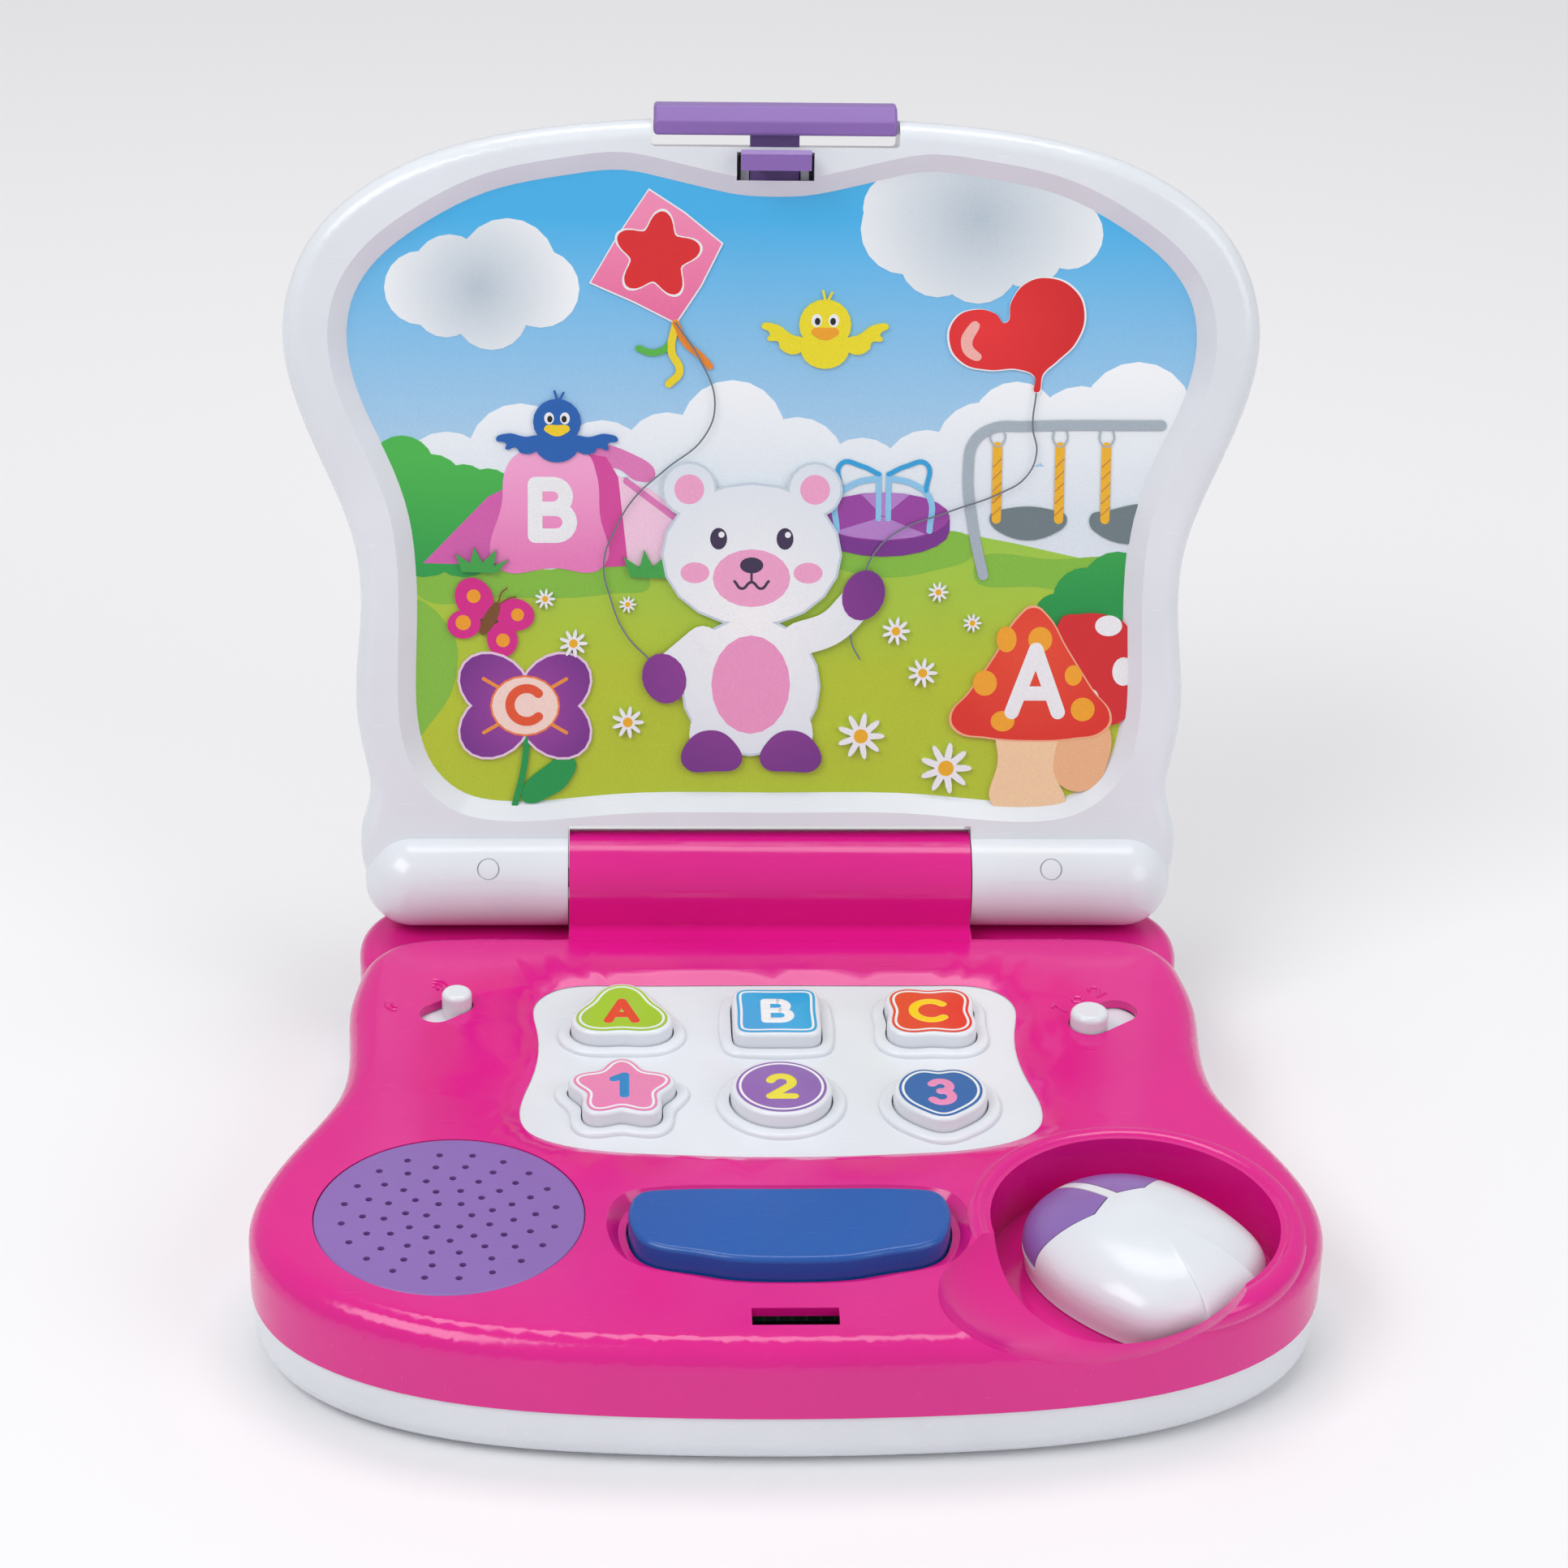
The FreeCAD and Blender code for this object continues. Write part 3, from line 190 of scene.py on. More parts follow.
def worn_edges(nodes, links, radius):
    """One along sharp edges and nought on broad faces."""
    soft = nodes.new("ShaderNodeBevel")
    soft.samples = 4
    soft.inputs["Radius"].default_value = radius
    true = nodes.new("ShaderNodeNewGeometry")
    dot = nodes.new("ShaderNodeVectorMath")
    dot.operation = "DOT_PRODUCT"
    links.new(soft.outputs["Normal"], dot.inputs[0])
    links.new(true.outputs["Normal"], dot.inputs[1])
    return ranged(nodes, links, dot.outputs["Value"], 1.0, 0.0, 0.7, 0.985)


def moulded(name, code, shine=0.2, grain=0.02, wear=0.25, glow=0.0):
    """Moulded plastic: slightly uneven gloss, faint ripple, hairline scuffs and rubbed edges."""
    material, nodes, links = new_material(name)
    shader = nodes["Principled BSDF"]
    where = nodes.new("ShaderNodeTexCoord")
    base = colour(code)
    darker = [c * 0.93 for c in base[:3]] + [1.0]
    paler = [c + (1 - c) * 0.22 for c in base[:3]] + [1.0]
    cloudy = ranged(nodes, links, noise(nodes, links, where, 28, 3), 0.0, 1.0)
    body = mixed(nodes, links, cloudy, base, darker)
    edges = nodes.new("ShaderNodeMath")
    edges.operation = "MULTIPLY"
    links.new(worn_edges(nodes, links, 0.5 * MM), edges.inputs[0])
    patches = noise(nodes, links, where, 160, 5)
    links.new(ranged(nodes, links, patches, 0.0, wear, 0.45, 0.65), edges.inputs[1])
    links.new(mixed(nodes, links, edges.outputs["Value"], body, paler), shader.inputs["Base Color"])
    uneven = ranged(nodes, links, noise(nodes, links, where, 60, 6), shine - 0.04, shine + 0.05)
    hairlines = noise(nodes, links, where, 90, 2, (1.0, 26.0, 6.0))
    scuffs = ranged(nodes, links, hairlines, 0.0, 0.14, 0.66, 0.75)
    rough = nodes.new("ShaderNodeMath")
    rough.operation = "ADD"
    links.new(uneven, rough.inputs[0])
    links.new(scuffs, rough.inputs[1])
    links.new(rough.outputs["Value"], shader.inputs["Roughness"])
    ripple = bumped(nodes, links, noise(nodes, links, where, 120, 1), 0.10, 0.12 * MM)
    pebble = bumped(nodes, links, noise(nodes, links, where, 2600, 3), grain * 10, 0.02 * MM, ripple)
    links.new(pebble, shader.inputs["Normal"])
    shader.inputs["IOR"].default_value = 1.53
    if glow:
        shader.inputs["Subsurface Weight"].default_value = glow
        shader.inputs["Subsurface Radius"].default_value = (1.2, 1.1, 1.0)
        shader.inputs["Subsurface Scale"].default_value = 1.0 * MM
    return material


BODY_OF = {node: body for body, members in frame["record"]["behaviour"]["bodies"].items()
           for node in members}


def refined(node, material, crease=32):
    """The finished skin of a CAD piece: the same form, with one smooth surface between its creases."""
    mesh = frame["nodes"][node].data.copy()
    mesh.materials.clear()
    mesh.materials.append(material)
    if "custom_normal" in mesh.attributes:
        mesh.attributes.remove(mesh.attributes["custom_normal"])
    bm = bmesh.new()
    bm.from_mesh(mesh)
    bmesh.ops.remove_doubles(bm, verts=bm.verts, dist=0.0005 * MM)
    for face in bm.faces:
        face.smooth = True
        face.material_index = 0
    bm.to_mesh(mesh)
    bm.free()
    mesh.set_sharp_from_angle(angle=math.radians(crease))
    piece = bpy.data.objects.new(node + "_skin", mesh)
    bpy.context.scene.collection.objects.link(piece)
    weighted = piece.modifiers.new("even_shading", "WEIGHTED_NORMAL")
    weighted.keep_sharp = True
    weighted.weight = 90
    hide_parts(node)
    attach(piece, BODY_OF[node])
    return piece


white_plastic = moulded("white_plastic", "#E4E8EF", 0.19, glow=0.06)
refined("bottom_shell", white_plastic)


# ---- battery door --------------------------------------------------------------------
# A flat white door with finger grooves, moulded in glossy ABS. One small screw
# holds its tab.
def metal(name, code, shine, stretch=(1, 1, 1), grain=1800):
    """Plated or drawn metal with fine tool marks and a little tarnish."""
    material, nodes, links = new_material(name)
    shader = nodes["Principled BSDF"]
    where = nodes.new("ShaderNodeTexCoord")
    base = colour(code)
    dull = [c * 0.72 for c in base[:3]] + [1.0]
    tarnish = ranged(nodes, links, noise(nodes, links, where, 240, 5), 0.0, 1.0)
    links.new(mixed(nodes, links, tarnish, base, dull), shader.inputs["Base Color"])
    marks = noise(nodes, links, where, grain, 4, stretch)
    links.new(ranged(nodes, links, marks, shine - 0.08, shine + 0.12), shader.inputs["Roughness"])
    links.new(bumped(nodes, links, marks, 0.25, 0.03 * MM), shader.inputs["Normal"])
    shader.inputs["Metallic"].default_value = 1.0
    return material


screw_steel = metal("zinc_plate", "#B9BABD", 0.3)
refined("battery_door", white_plastic)
refined("battery_door_screw", screw_steel)


# ---- batteries, contacts and springs -------------------------------------------------
# Three AA cells in printed jackets, with a gold band at the button end. Nickel
# plated plates and coil springs press on their ends.
def dress(node, material):
    """Give an inner piece its finish as it stands."""
    for place in frame["nodes"][node].material_slots:
        place.material = material
    if not frame["nodes"][node].material_slots:
        frame["nodes"][node].data.materials.append(material)


battery_jacket, nodes, links = new_material("battery_jacket")
where = nodes.new("ShaderNodeTexCoord")
along = nodes.new("ShaderNodeSeparateXYZ")
links.new(where.outputs["Object"], along.inputs["Vector"])
band = ranged(nodes, links, along.outputs["X"], 0.0, 1.0, 11 * MM, 11.2 * MM)
jacket = mixed(nodes, links, band, colour("#1D1E22"), colour("#B8863B"))
shader = nodes["Principled BSDF"]
links.new(jacket, shader.inputs["Base Color"])
rub = noise(nodes, links, where, 400, 5)
links.new(ranged(nodes, links, rub, 0.22, 0.42), shader.inputs["Roughness"])
links.new(bumped(nodes, links, rub, 0.1, 0.03 * MM), shader.inputs["Normal"])
shader.inputs["Metallic"].default_value = 0.6
dress("batteries", battery_jacket)
contact_metal = metal("nickel_plate", "#D2CFC4", 0.22)
for node in ("battery_contacts", "battery_springs"):
    dress(node, contact_metal)


# ---- circuit board, its parts and the wires ------------------------------------------
# A green epoxy board hangs under the deck on four screws. It carries the sound chip,
# the slide switches and the rubber domes under the keys.
circuit_board, nodes, links = new_material("circuit_board")
shader = nodes["Principled BSDF"]
where = nodes.new("ShaderNodeTexCoord")
tracks = nodes.new("ShaderNodeTexBrick")
tracks.inputs["Scale"].default_value = 160
tracks.inputs["Mortar Size"].default_value = 0.06
tracks.inputs["Color1"].default_value = colour("#0F5A33")
tracks.inputs["Color2"].default_value = colour("#136B3D")
tracks.inputs["Mortar"].default_value = colour("#2E8C55")
links.new(where.outputs["Object"], tracks.inputs["Vector"])
links.new(tracks.outputs["Color"], shader.inputs["Base Color"])
links.new(bumped(nodes, links, tracks.outputs["Fac"], 0.3, 0.03 * MM), shader.inputs["Normal"])
links.new(ranged(nodes, links, noise(nodes, links, where, 300), 0.25, 0.4), shader.inputs["Roughness"])
for node in ("main_board", "mouse_board"):
    dress(node, circuit_board)
black_plastic = moulded("black_plastic", "#17181B", 0.42, 0.05)
for node in ("sound_chip", "slide_switches", "mouse_switches"):
    dress(node, black_plastic)
dress("board_screws", screw_steel)
dress("key_domes", moulded("key_rubber", "#C9CBCF", 0.6, 0.06))
red_wire = moulded("wire_jacket", "#B81D1D", 0.38, 0.04)
for node in ("speaker_wires", "battery_wires"):
    dress(node, red_wire)


# ---- speaker -------------------------------------------------------------------------
# A pressed steel basket with a paper cone and a ferrite magnet, glued up behind the
# grille.
dress("speaker_frame", metal("pressed_steel", "#6E7074", 0.4))
dress("speaker_magnet", metal("ferrite", "#2B2B2E", 0.6))
dress("speaker_cone", moulded("cone_paper", "#1B1B1D", 0.85, 0.12))


# ---- top shell -----------------------------------------------------------------------
# The magenta deck with its hinge barrel, mouse well and openings, moulded in one
# piece. It snaps over the bottom shell's rim and takes the six case screws.
magenta_plastic = moulded("magenta_plastic", "#E0148C", 0.15, wear=0.18)
top_shell = refined("top_shell", magenta_plastic)
dress("case_screws", screw_steel)


def curve_mesh(points, closed, smooth, depth=0.0, bevel=0.0):
    """A flat shape or a thin line through points, as a mesh about z = 0."""
    line = bpy.data.curves.new("line", "CURVE")
    line.dimensions = "2D" if closed else "3D"
    line.extrude = depth / 2
    line.bevel_depth = bevel
    line.bevel_resolution = 2
    line.resolution_u = 8
    line.use_fill_caps = not closed
    if closed:
        line.fill_mode = "BOTH"
    spline = line.splines.new("BEZIER" if smooth else "POLY")
    if smooth:
        spline.bezier_points.add(len(points) - 1)
        for knot, point in zip(spline.bezier_points, points):
            knot.co = (point[0], point[1], 0)
            knot.handle_left_type = "AUTO"
            knot.handle_right_type = "AUTO"
    else:
        spline.points.add(len(points) - 1)
        for knot, point in zip(spline.points, points):
            knot.co = (point[0], point[1], 0, 1)
    spline.use_cyclic_u = closed
    holder = bpy.data.objects.new("line", line)
    mesh = bpy.data.meshes.new_from_object(holder)
    bpy.data.objects.remove(holder)
    return mesh


def poured(bm, mesh, matrix, index=0):
    """Add a mesh to a bmesh, moved by a matrix and with one of its materials."""
    mesh.transform(matrix)
    for face in mesh.polygons:
        face.material_index = index
        face.use_smooth = False
    bm.from_mesh(mesh)
    bpy.data.meshes.remove(mesh)


def arc(radius, start, end, count=9, x=0.0, y=0.0):
    """Points along an arc, angles in degrees."""
    steps = [math.radians(start + (end - start) * k / (count - 1)) for k in range(count)]
    return [(x + radius * math.cos(a), y + radius * math.sin(a)) for a in steps]


def stroke(bm, points, width, height, matrix, index=0, smooth=True):
    """A round-ended pen stroke through the points, with a low crown of the given height."""
    crown = matrix @ Matrix.Diagonal((1, 1, 2 * height / width, 1))
    for run in [points] if smooth else zip(points, points[1:]):
        poured(bm, curve_mesh(run, False, smooth, bevel=width / 2), crown, index)
    for point in (points[0], points[-1]) if smooth else points:
        ball = bmesh.ops.create_uvsphere(bm, u_segments=16, v_segments=8, radius=width / 2)["verts"]
        bmesh.ops.transform(bm, matrix=crown @ Matrix.Translation((point[0], point[1], 0)), verts=ball)
        for vert in ball:
            for face in vert.link_faces:
                face.material_index = index


# Round-ended letters and numbers, each a few pen strokes in a space ten units high:
# whether the stroke is smooth, and its points.
LETTERS = {
    "a": [(False, [(-3.3, -4.4), (0, 4.6), (3.3, -4.4)]), (False, [(-2.1, -1.7), (2.1, -1.7)])],
    "b": [(False, [(-2.7, 4.4), (-2.7, -4.4)]),
          (False, [(-2.7, 4.4), (0.4, 4.4)] + arc(2.1, 90, -90, 9, 0.4, 2.3) + [(-2.7, 0.2)]),
          (False, [(-2.7, 0.2), (0.9, 0.2)] + arc(2.3, 90, -90, 9, 0.9, -2.1) + [(-2.7, -4.4)])],
    "c": [(True, arc(4.3, 45, 315, 13))],
    "1": [(False, [(-1.9, 2.7), (0.6, 4.4), (0.6, -4.4)])],
    "2": [(False, arc(2.6, 165, -35, 11, 0, 1.9) + [(-2.7, -4.3), (2.9, -4.3)])],
    "3": [(True, arc(2.2, 150, -90, 9, 0, 2.3)), (True, arc(2.5, 90, -150, 9, 0, -2.2))]}


def lettered(bm, letter, size, width, height, matrix, index=0):
    """A letter of a given height, centred on the matrix's origin."""
    for count, (smooth, points) in enumerate(LETTERS[letter]):
        scaled = [(x * size / 10, y * size / 10) for x, y in points]
        stroke(bm, scaled, width, height * (1 + 0.2 * count), matrix, index, smooth)


ABOVE_DECK = 0.049        # between the deck and the hinge barrel's top, where the rays start
DOWN = Vector((0, 0, -1))


def draped(bm, target):
    """Let marks lie on a surface: each point's height is taken from the surface below it."""
    for vert in bm.verts:
        start = Vector((vert.co.x, vert.co.y, ABOVE_DECK))
        hit, place = target.ray_cast(start, DOWN)[:2]
        if hit:
            vert.co.z += place.z


# Raised marks beside the switches: sound waves that grow, and the numbers 1 and 2.
SWITCH_TILT = math.radians(38)
MARK_R = 0.42 * MM
bm = bmesh.new()


def mark_place(node, along, across):
    """A place beside a switch, along its slot and behind it."""
    low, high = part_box(node)
    middle = (low + high) / 2
    place = Matrix.Translation((middle.x, middle.y, 0)) @ Matrix.Rotation(SWITCH_TILT, 4, "Z")
    return place @ Matrix.Translation((along, across, 0))


for radius in (1.4, 2.8, 4.2):
    mesh = curve_mesh(arc(radius * MM, -50, 50), False, True, bevel=MARK_R)
    poured(bm, mesh, mark_place("volume_switch_knob", 1.5 * MM, 9.5 * MM))
for radius in (1.4, 2.8):
    mesh = curve_mesh(arc(radius * MM, 130, 230), False, True, bevel=MARK_R)
    poured(bm, mesh, mark_place("volume_switch_knob", -9.0 * MM, 9.2 * MM))
NUMBER_SIZE = 4.6 * MM
for along, number in ((-4.0, "1"), (8.5, "2")):
    place = mark_place("mode_switch_knob", along * MM, 9.5 * MM)
    lettered(bm, number, NUMBER_SIZE, 2 * MARK_R, MARK_R, place)
mesh = curve_mesh(arc(1.2 * MM, 0, 340, 13), False, True, bevel=MARK_R)
poured(bm, mesh, mark_place("mode_switch_knob", 2.2 * MM, 9.5 * MM))
# Round marks left by the mould, left and right, in front of the lid's barrels.
PIN_MARK_R = 2.6 * MM
PIN_MARK_X = 70 * MM
PIN_MARK_Y = 67 * MM
for side in (-1, 1):
    place = Matrix.Translation((side * PIN_MARK_X, PIN_MARK_Y, 0))
    stroke(bm, arc(PIN_MARK_R, 0, 357, 25), 0.3 * MM, 0.1 * MM, place)
draped(bm, top_shell)
bmesh.ops.remove_doubles(bm, verts=bm.verts, dist=0.0005 * MM)
marks = add_mesh("deck_marks", bm, magenta_plastic)
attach(marks, "base")


# ---- speaker grille ------------------------------------------------------------------
# A satin purple disc, moulded with rings of small holes. It is glued flush in the
# deck, over the speaker.
purple_plastic = moulded("purple_plastic", "#8B67B4", 0.3, 0.03)
refined("speaker_grille", purple_plastic)


# ---- keypad panel and keys -----------------------------------------------------------
# A white panel welded under the deck's opening, with a moulded ring round each key.
# The keys are white caps that stand on rubber domes.
refined("keypad_panel", white_plastic)
for letter in "abc123":
    refined("key_" + letter, white_plastic)


# ---- key labels ----------------------------------------------------------------------
# Printed stickers under a clear gloss film, one on each key, with a white line inside
# the edge and a fat letter or number.
def printed(name, code, shine=0.16):
    """Offset print under gloss film: a fine dot screen, and slightly uneven gloss."""
    material, nodes, links = new_material(name)
    shader = nodes["Principled BSDF"]
    where = nodes.new("ShaderNodeTexCoord")
    base = colour(code)
    darker = [c * 0.9 for c in base[:3]] + [1.0]
    dots = ranged(nodes, links, noise(nodes, links, where, 2400, 2), 0.0, 1.0)
    links.new(mixed(nodes, links, dots, base, darker), shader.inputs["Base Color"])
    film = noise(nodes, links, where, 90, 4)
    links.new(ranged(nodes, links, film, shine - 0.04, shine + 0.08), shader.inputs["Roughness"])
    links.new(bumped(nodes, links, film, 0.08, 0.05 * MM), shader.inputs["Normal"])
    shader.inputs["Coat Weight"].default_value = 0.5
    shader.inputs["Coat Roughness"].default_value = 0.08
    return material


WHITE_INK = printed("ink_white", "#F2F4F7")
# letter, label colour, letter colour
LABELS = (("a", "#A6CB38", "#E8392F"), ("b", "#1BA7E0", "#F4F6F8"), ("c", "#E83E36", "#FFD21F"),
          ("1", "#EE86BB", "#1E86CC"), ("2", "#8B5FB0", "#EFE020"), ("3", "#2A62B0", "#EE8CC0"))
BORDER_IN = 0.6 * MM
BORDER_WIDE = 0.6 * MM
INK_UP = 0.03 * MM
LETTER_SIZE = 9.6 * MM
LETTER_WIDE = 2.3 * MM
LETTER_RISE = {"a": -1.6, "1": -0.2, "3": 0.4}    # millimetres towards the lid, where not centred
for letter, ground, ink in LABELS:
    node = "key_label_" + letter
    label = refined(node, printed("label_" + letter, ground))
    low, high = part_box(node)
    bm = bmesh.new()
    bm.from_mesh(label.data)
    bm.normal_update()
    bmesh.ops.delete(bm, geom=[f for f in bm.faces if f.normal.z < 0.9], context="FACES")
    bmesh.ops.dissolve_faces(bm, faces=bm.faces[:], use_verts=False)
    inside = bm.faces[:]
    bmesh.ops.inset_region(bm, faces=inside, thickness=BORDER_IN, use_even_offset=True, use_boundary=True)
    band = bmesh.ops.inset_region(bm, faces=inside, thickness=BORDER_WIDE, use_even_offset=True)
    kept = set(band["faces"])
    bmesh.ops.delete(bm, geom=[f for f in bm.faces if f not in kept], context="FACES")
    top = bmesh.ops.extrude_face_region(bm, geom=bm.faces[:], use_keep_orig=True)
    raised = [v for v in top["geom"] if isinstance(v, bmesh.types.BMVert)]
    bmesh.ops.translate(bm, verts=raised, vec=(0, 0, INK_UP))
    bmesh.ops.recalc_face_normals(bm, faces=bm.faces[:])
    for face in bm.faces:
        face.smooth = False
    middle = (low + high) / 2
    rise = LETTER_RISE.get(letter, 0.0) * MM
    place = Matrix.Translation((middle.x, middle.y + rise, high.z))
    lettered(bm, letter, LETTER_SIZE, LETTER_WIDE, 3 * INK_UP, place, 1)
    art = add_mesh("key_print_" + letter, bm, WHITE_INK, printed("letter_" + letter, ink))
    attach(art, "key_" + letter)


# ---- enter bar -----------------------------------------------------------------------
# A wide blue key with a rounded top edge, moulded in ABS. It stands on rubber domes
# like the small keys.
blue_plastic = moulded("blue_plastic", "#1757AC", 0.24, 0.03)
refined("enter_bar", blue_plastic)


# ---- slide switches ------------------------------------------------------------------
# White round knobs, each moulded in one piece with a flat slider. The sliders close
# the tilted slots in the deck from below.
for name in ("volume", "mode"):
    refined(name + "_switch_knob", white_plastic)


# ---- mouse ---------------------------------------------------------------------------
# A white dome on a base plate that turns on a screw in the well's floor, with two
# purple buttons let into its nose.
refined("mouse_shell", white_plastic)
refined("mouse_base", white_plastic)
for side in ("left", "right"):
    refined("mouse_button_" + side, purple_plastic)
for node in ("mouse_pivot_screw", "mouse_pivot_washer", "mouse_screw"):
    dress(node, screw_steel)


# ---- lid -----------------------------------------------------------------------------
# A white bezel and a white back cover, screwed together at the back. The bezel
# carries the two hinge barrels, which turn on steel pins.
refined("lid_bezel", white_plastic)
refined("lid_back", white_plastic)
dress("lid_screws", screw_steel)
dress("hinge_pins", metal("drawn_steel", "#C2C3C6", 0.2, (1, 12, 12)))


# ---- screen --------------------------------------------------------------------------
# A sheet printed with a park scene, held between the bezel and a backing panel.
# The inks lie on each other, each a hair's breadth higher.
dress("screen_panel", moulded("backing_sheet", "#D0D3D8", 0.5))
hinge = next(joint for joint in frame["joints"] if joint["name"] == "lid_hinge")
swing = math.radians(hinge["range_deg"][1])
# Across, up the lid from the hinge, and out towards the viewer.
picture_space = Matrix.Translation(hinge["pos_m"]) @ Matrix.Rotation(math.pi - swing, 4, "X")
SHEET_UP = 1.0            # face of the sheet, above the hinge axis, millimetres
INK_STEP = 0.02           # each ink stands this much higher, millimetres
SHAPE_STEP = 0.0015       # shapes of one ink that overlap don't share a plane


def point_on_picture(across, up):
    return picture_space @ Vector((across * MM, up * MM, SHEET_UP * MM))


def graded(name, code, other, centre, reach, along=None):
    """Print that passes from one colour to another, outwards from a point or up the sheet."""
    material = printed(name, code)
    nodes = material.node_tree.nodes
    links = material.node_tree.links
    shader = nodes["Principled BSDF"]
    where = nodes.new("ShaderNodeTexCoord")
    gap = nodes.new("ShaderNodeVectorMath")
    if along:
        gap.operation = "SUBTRACT"
        split = nodes.new("ShaderNodeSeparateXYZ")
        links.new(gap.outputs["Vector"], split.inputs["Vector"])
        value = split.outputs["Z"]
    else:
        gap.operation = "DISTANCE"
        value = gap.outputs["Value"]
    links.new(where.outputs["Object"], gap.inputs[0])
    gap.inputs[1].default_value = point_on_picture(*centre)
    amount = ranged(nodes, links, value, 0.0, 1.0, 0.0, reach * MM)
    printed_colour = shader.inputs["Base Color"].links[0].from_socket
    links.new(mixed(nodes, links, amount, printed_colour, colour(other)), shader.inputs["Base Color"])
    return material


refined("screen_print", graded("sky", "#BCD9F1", "#42B3EC", (0, 95), 66, along=True))


def oval(x, up, wide, high=None, turn=0.0, count=20):
    """An ellipse's points, turned by some degrees."""
    high = wide if high is None else high
    c, s = math.cos(math.radians(turn)), math.sin(math.radians(turn))
    ring = []
    for k in range(count):
        a = 2 * math.pi * k / count
        u, v = wide * math.cos(a), high * math.sin(a)
        ring.append((x + u * c - v * s, up + u * s + v * c))
    return ring


def rosette(x, up, radius, petals, depth, turn=0.0):
    """A flower or star outline: a circle whose radius swells once for each petal."""
    ring = []
    for k in range(petals * 8):
        a = 2 * math.pi * k / (petals * 8)
        reach = radius * (1 - depth + depth * math.cos(petals * a))
        ring.append((x + reach * math.cos(a + turn), up + reach * math.sin(a + turn)))
    return ring


def moved(points, x, up, size=1.0, turn=0.0):
    """An outline set down at a place, scaled and turned."""
    c, s = math.cos(math.radians(turn)) * size, math.sin(math.radians(turn)) * size
    return [(x + u * c - v * s, up + u * s + v * c) for u, v in points]


inks = []
picture = bmesh.new()


def ink(material, *shapes):
    """Lay one colour on the sheet. Each shape is smooth, straight, a line or lettering."""
    inks.append(material)
    top = INK_STEP * len(inks)
    index = len(inks) - 1
    for count, (kind, data, *rest) in enumerate(shapes):
        rise = top + SHAPE_STEP * (count % 12)
        if kind == "line":
            place = picture_space @ Matrix.Translation((0, 0, (SHEET_UP + rise) * MM))
            stroke(picture, [(x * MM, up * MM) for x, up in data], rest[0] * MM, 0.03 * MM, place, index)
        elif kind == "letter":
            x, up, size, width = rest
            place = picture_space @ Matrix.Translation((x * MM, up * MM, (SHEET_UP + rise) * MM))
            lettered(picture, data, size * MM, width * MM, 0.06 * MM, place, index)
        else:
            mesh = curve_mesh([(x * MM, up * MM) for x, up in data], True, kind == "smooth", rise * MM)
            place = picture_space @ Matrix.Translation((0, 0, (SHEET_UP + rise / 2) * MM))
            poured(picture, mesh, place, index)


def ovals(*facts):
    return [("straight", oval(*fact)) for fact in facts]


# Clouds on the horizon, and the field.
far_cloud = graded("far_cloud", "#E2ECF5", "#F6FAFD", (0, 92), 34, along=True)
ink(far_cloud, *ovals((-62, 106, 13), (-80, 100, 12), (-42, 103, 12), (-26, 106, 11), (-10, 112, 13),
                      (6, 104, 12), (22, 100, 11), (38, 102, 11), (52, 108, 12), (60, 114, 11),
                      (76, 112, 12), (90, 116, 14), (93, 104, 16), (-92, 94, 10)),
    ("straight", [(-96, 70), (-96, 96), (0, 104), (98, 104), (98, 70)]))
field_line = [(-97, 76), (-70, 79), (-40, 77), (0, 80), (26, 86), (44, 88), (60, 85), (78, 81), (98, 79)]
field = graded("field", "#B9CB2B", "#9CCB45", (0, 52), 34, along=True)
ink(field, ("straight", [(98, 22), (88, 19.5), (76, 18.5), (66, 17.5), (40, 18.5), (0, 19), (-40, 18.5),
                         (-66, 17.5), (-76, 18.5), (-88, 19.5), (-97, 22)] + field_line))
shade = printed("field_shade", "#86C13E")
ink(shade, ("smooth", [(-88, 76), (-60, 77.5), (-30, 75), (-40, 72), (-66, 71), (-88, 72)]),
    ("smooth", [(50, 78), (70, 81), (92, 78), (92, 74), (66, 74)]),
    ("smooth", [(8, 84), (30, 86), (50, 84), (40, 78), (18, 78)]),
    ("smooth", [(-92, 70), (-80, 64), (-78, 52), (-84, 40), (-92, 34)]))
# Big clouds in the sky.
left_cloud = graded("left_cloud", "#BCCBD8", "#F3F7FA", (-72, 147), 24)
ink(left_cloud, *ovals((-86, 147, 9), (-79, 151, 9), (-65, 152, 12), (-57, 147, 9.5), (-69, 141, 9),
                       (-80, 143, 8)), ("straight", oval(-71, 147, 16, 9)))
right_cloud = graded("right_cloud", "#BCCBD8", "#F3F7FA", (50, 165), 34)
ink(right_cloud, *ovals((32, 162, 11), (30, 167, 8.5), (40, 155, 9.5), (50, 154, 10), (62, 157, 9),
                        (72, 161, 8.5)),
    ("straight", [(27, 174.6), (37, 176.4), (50, 175.2), (69, 171.2), (78, 167), (72, 158), (30, 158)]))
# Bushes left and right.
bush = graded("bush", "#159A48", "#46B649", (0, 70), 34, along=True)
ink(bush, *ovals((-91, 103, 8), (-84, 98, 8.5), (-76, 97, 7), (-70, 96, 7), (-66, 90, 7), (-86, 88, 12),
                 (-76, 86, 10)), ("straight", [(-93, 78), (-94, 98), (-66, 92), (-62, 79)]),
    *ovals((86, 74, 9), (78, 71, 8), (71, 67, 5.5), (90, 66, 9)))
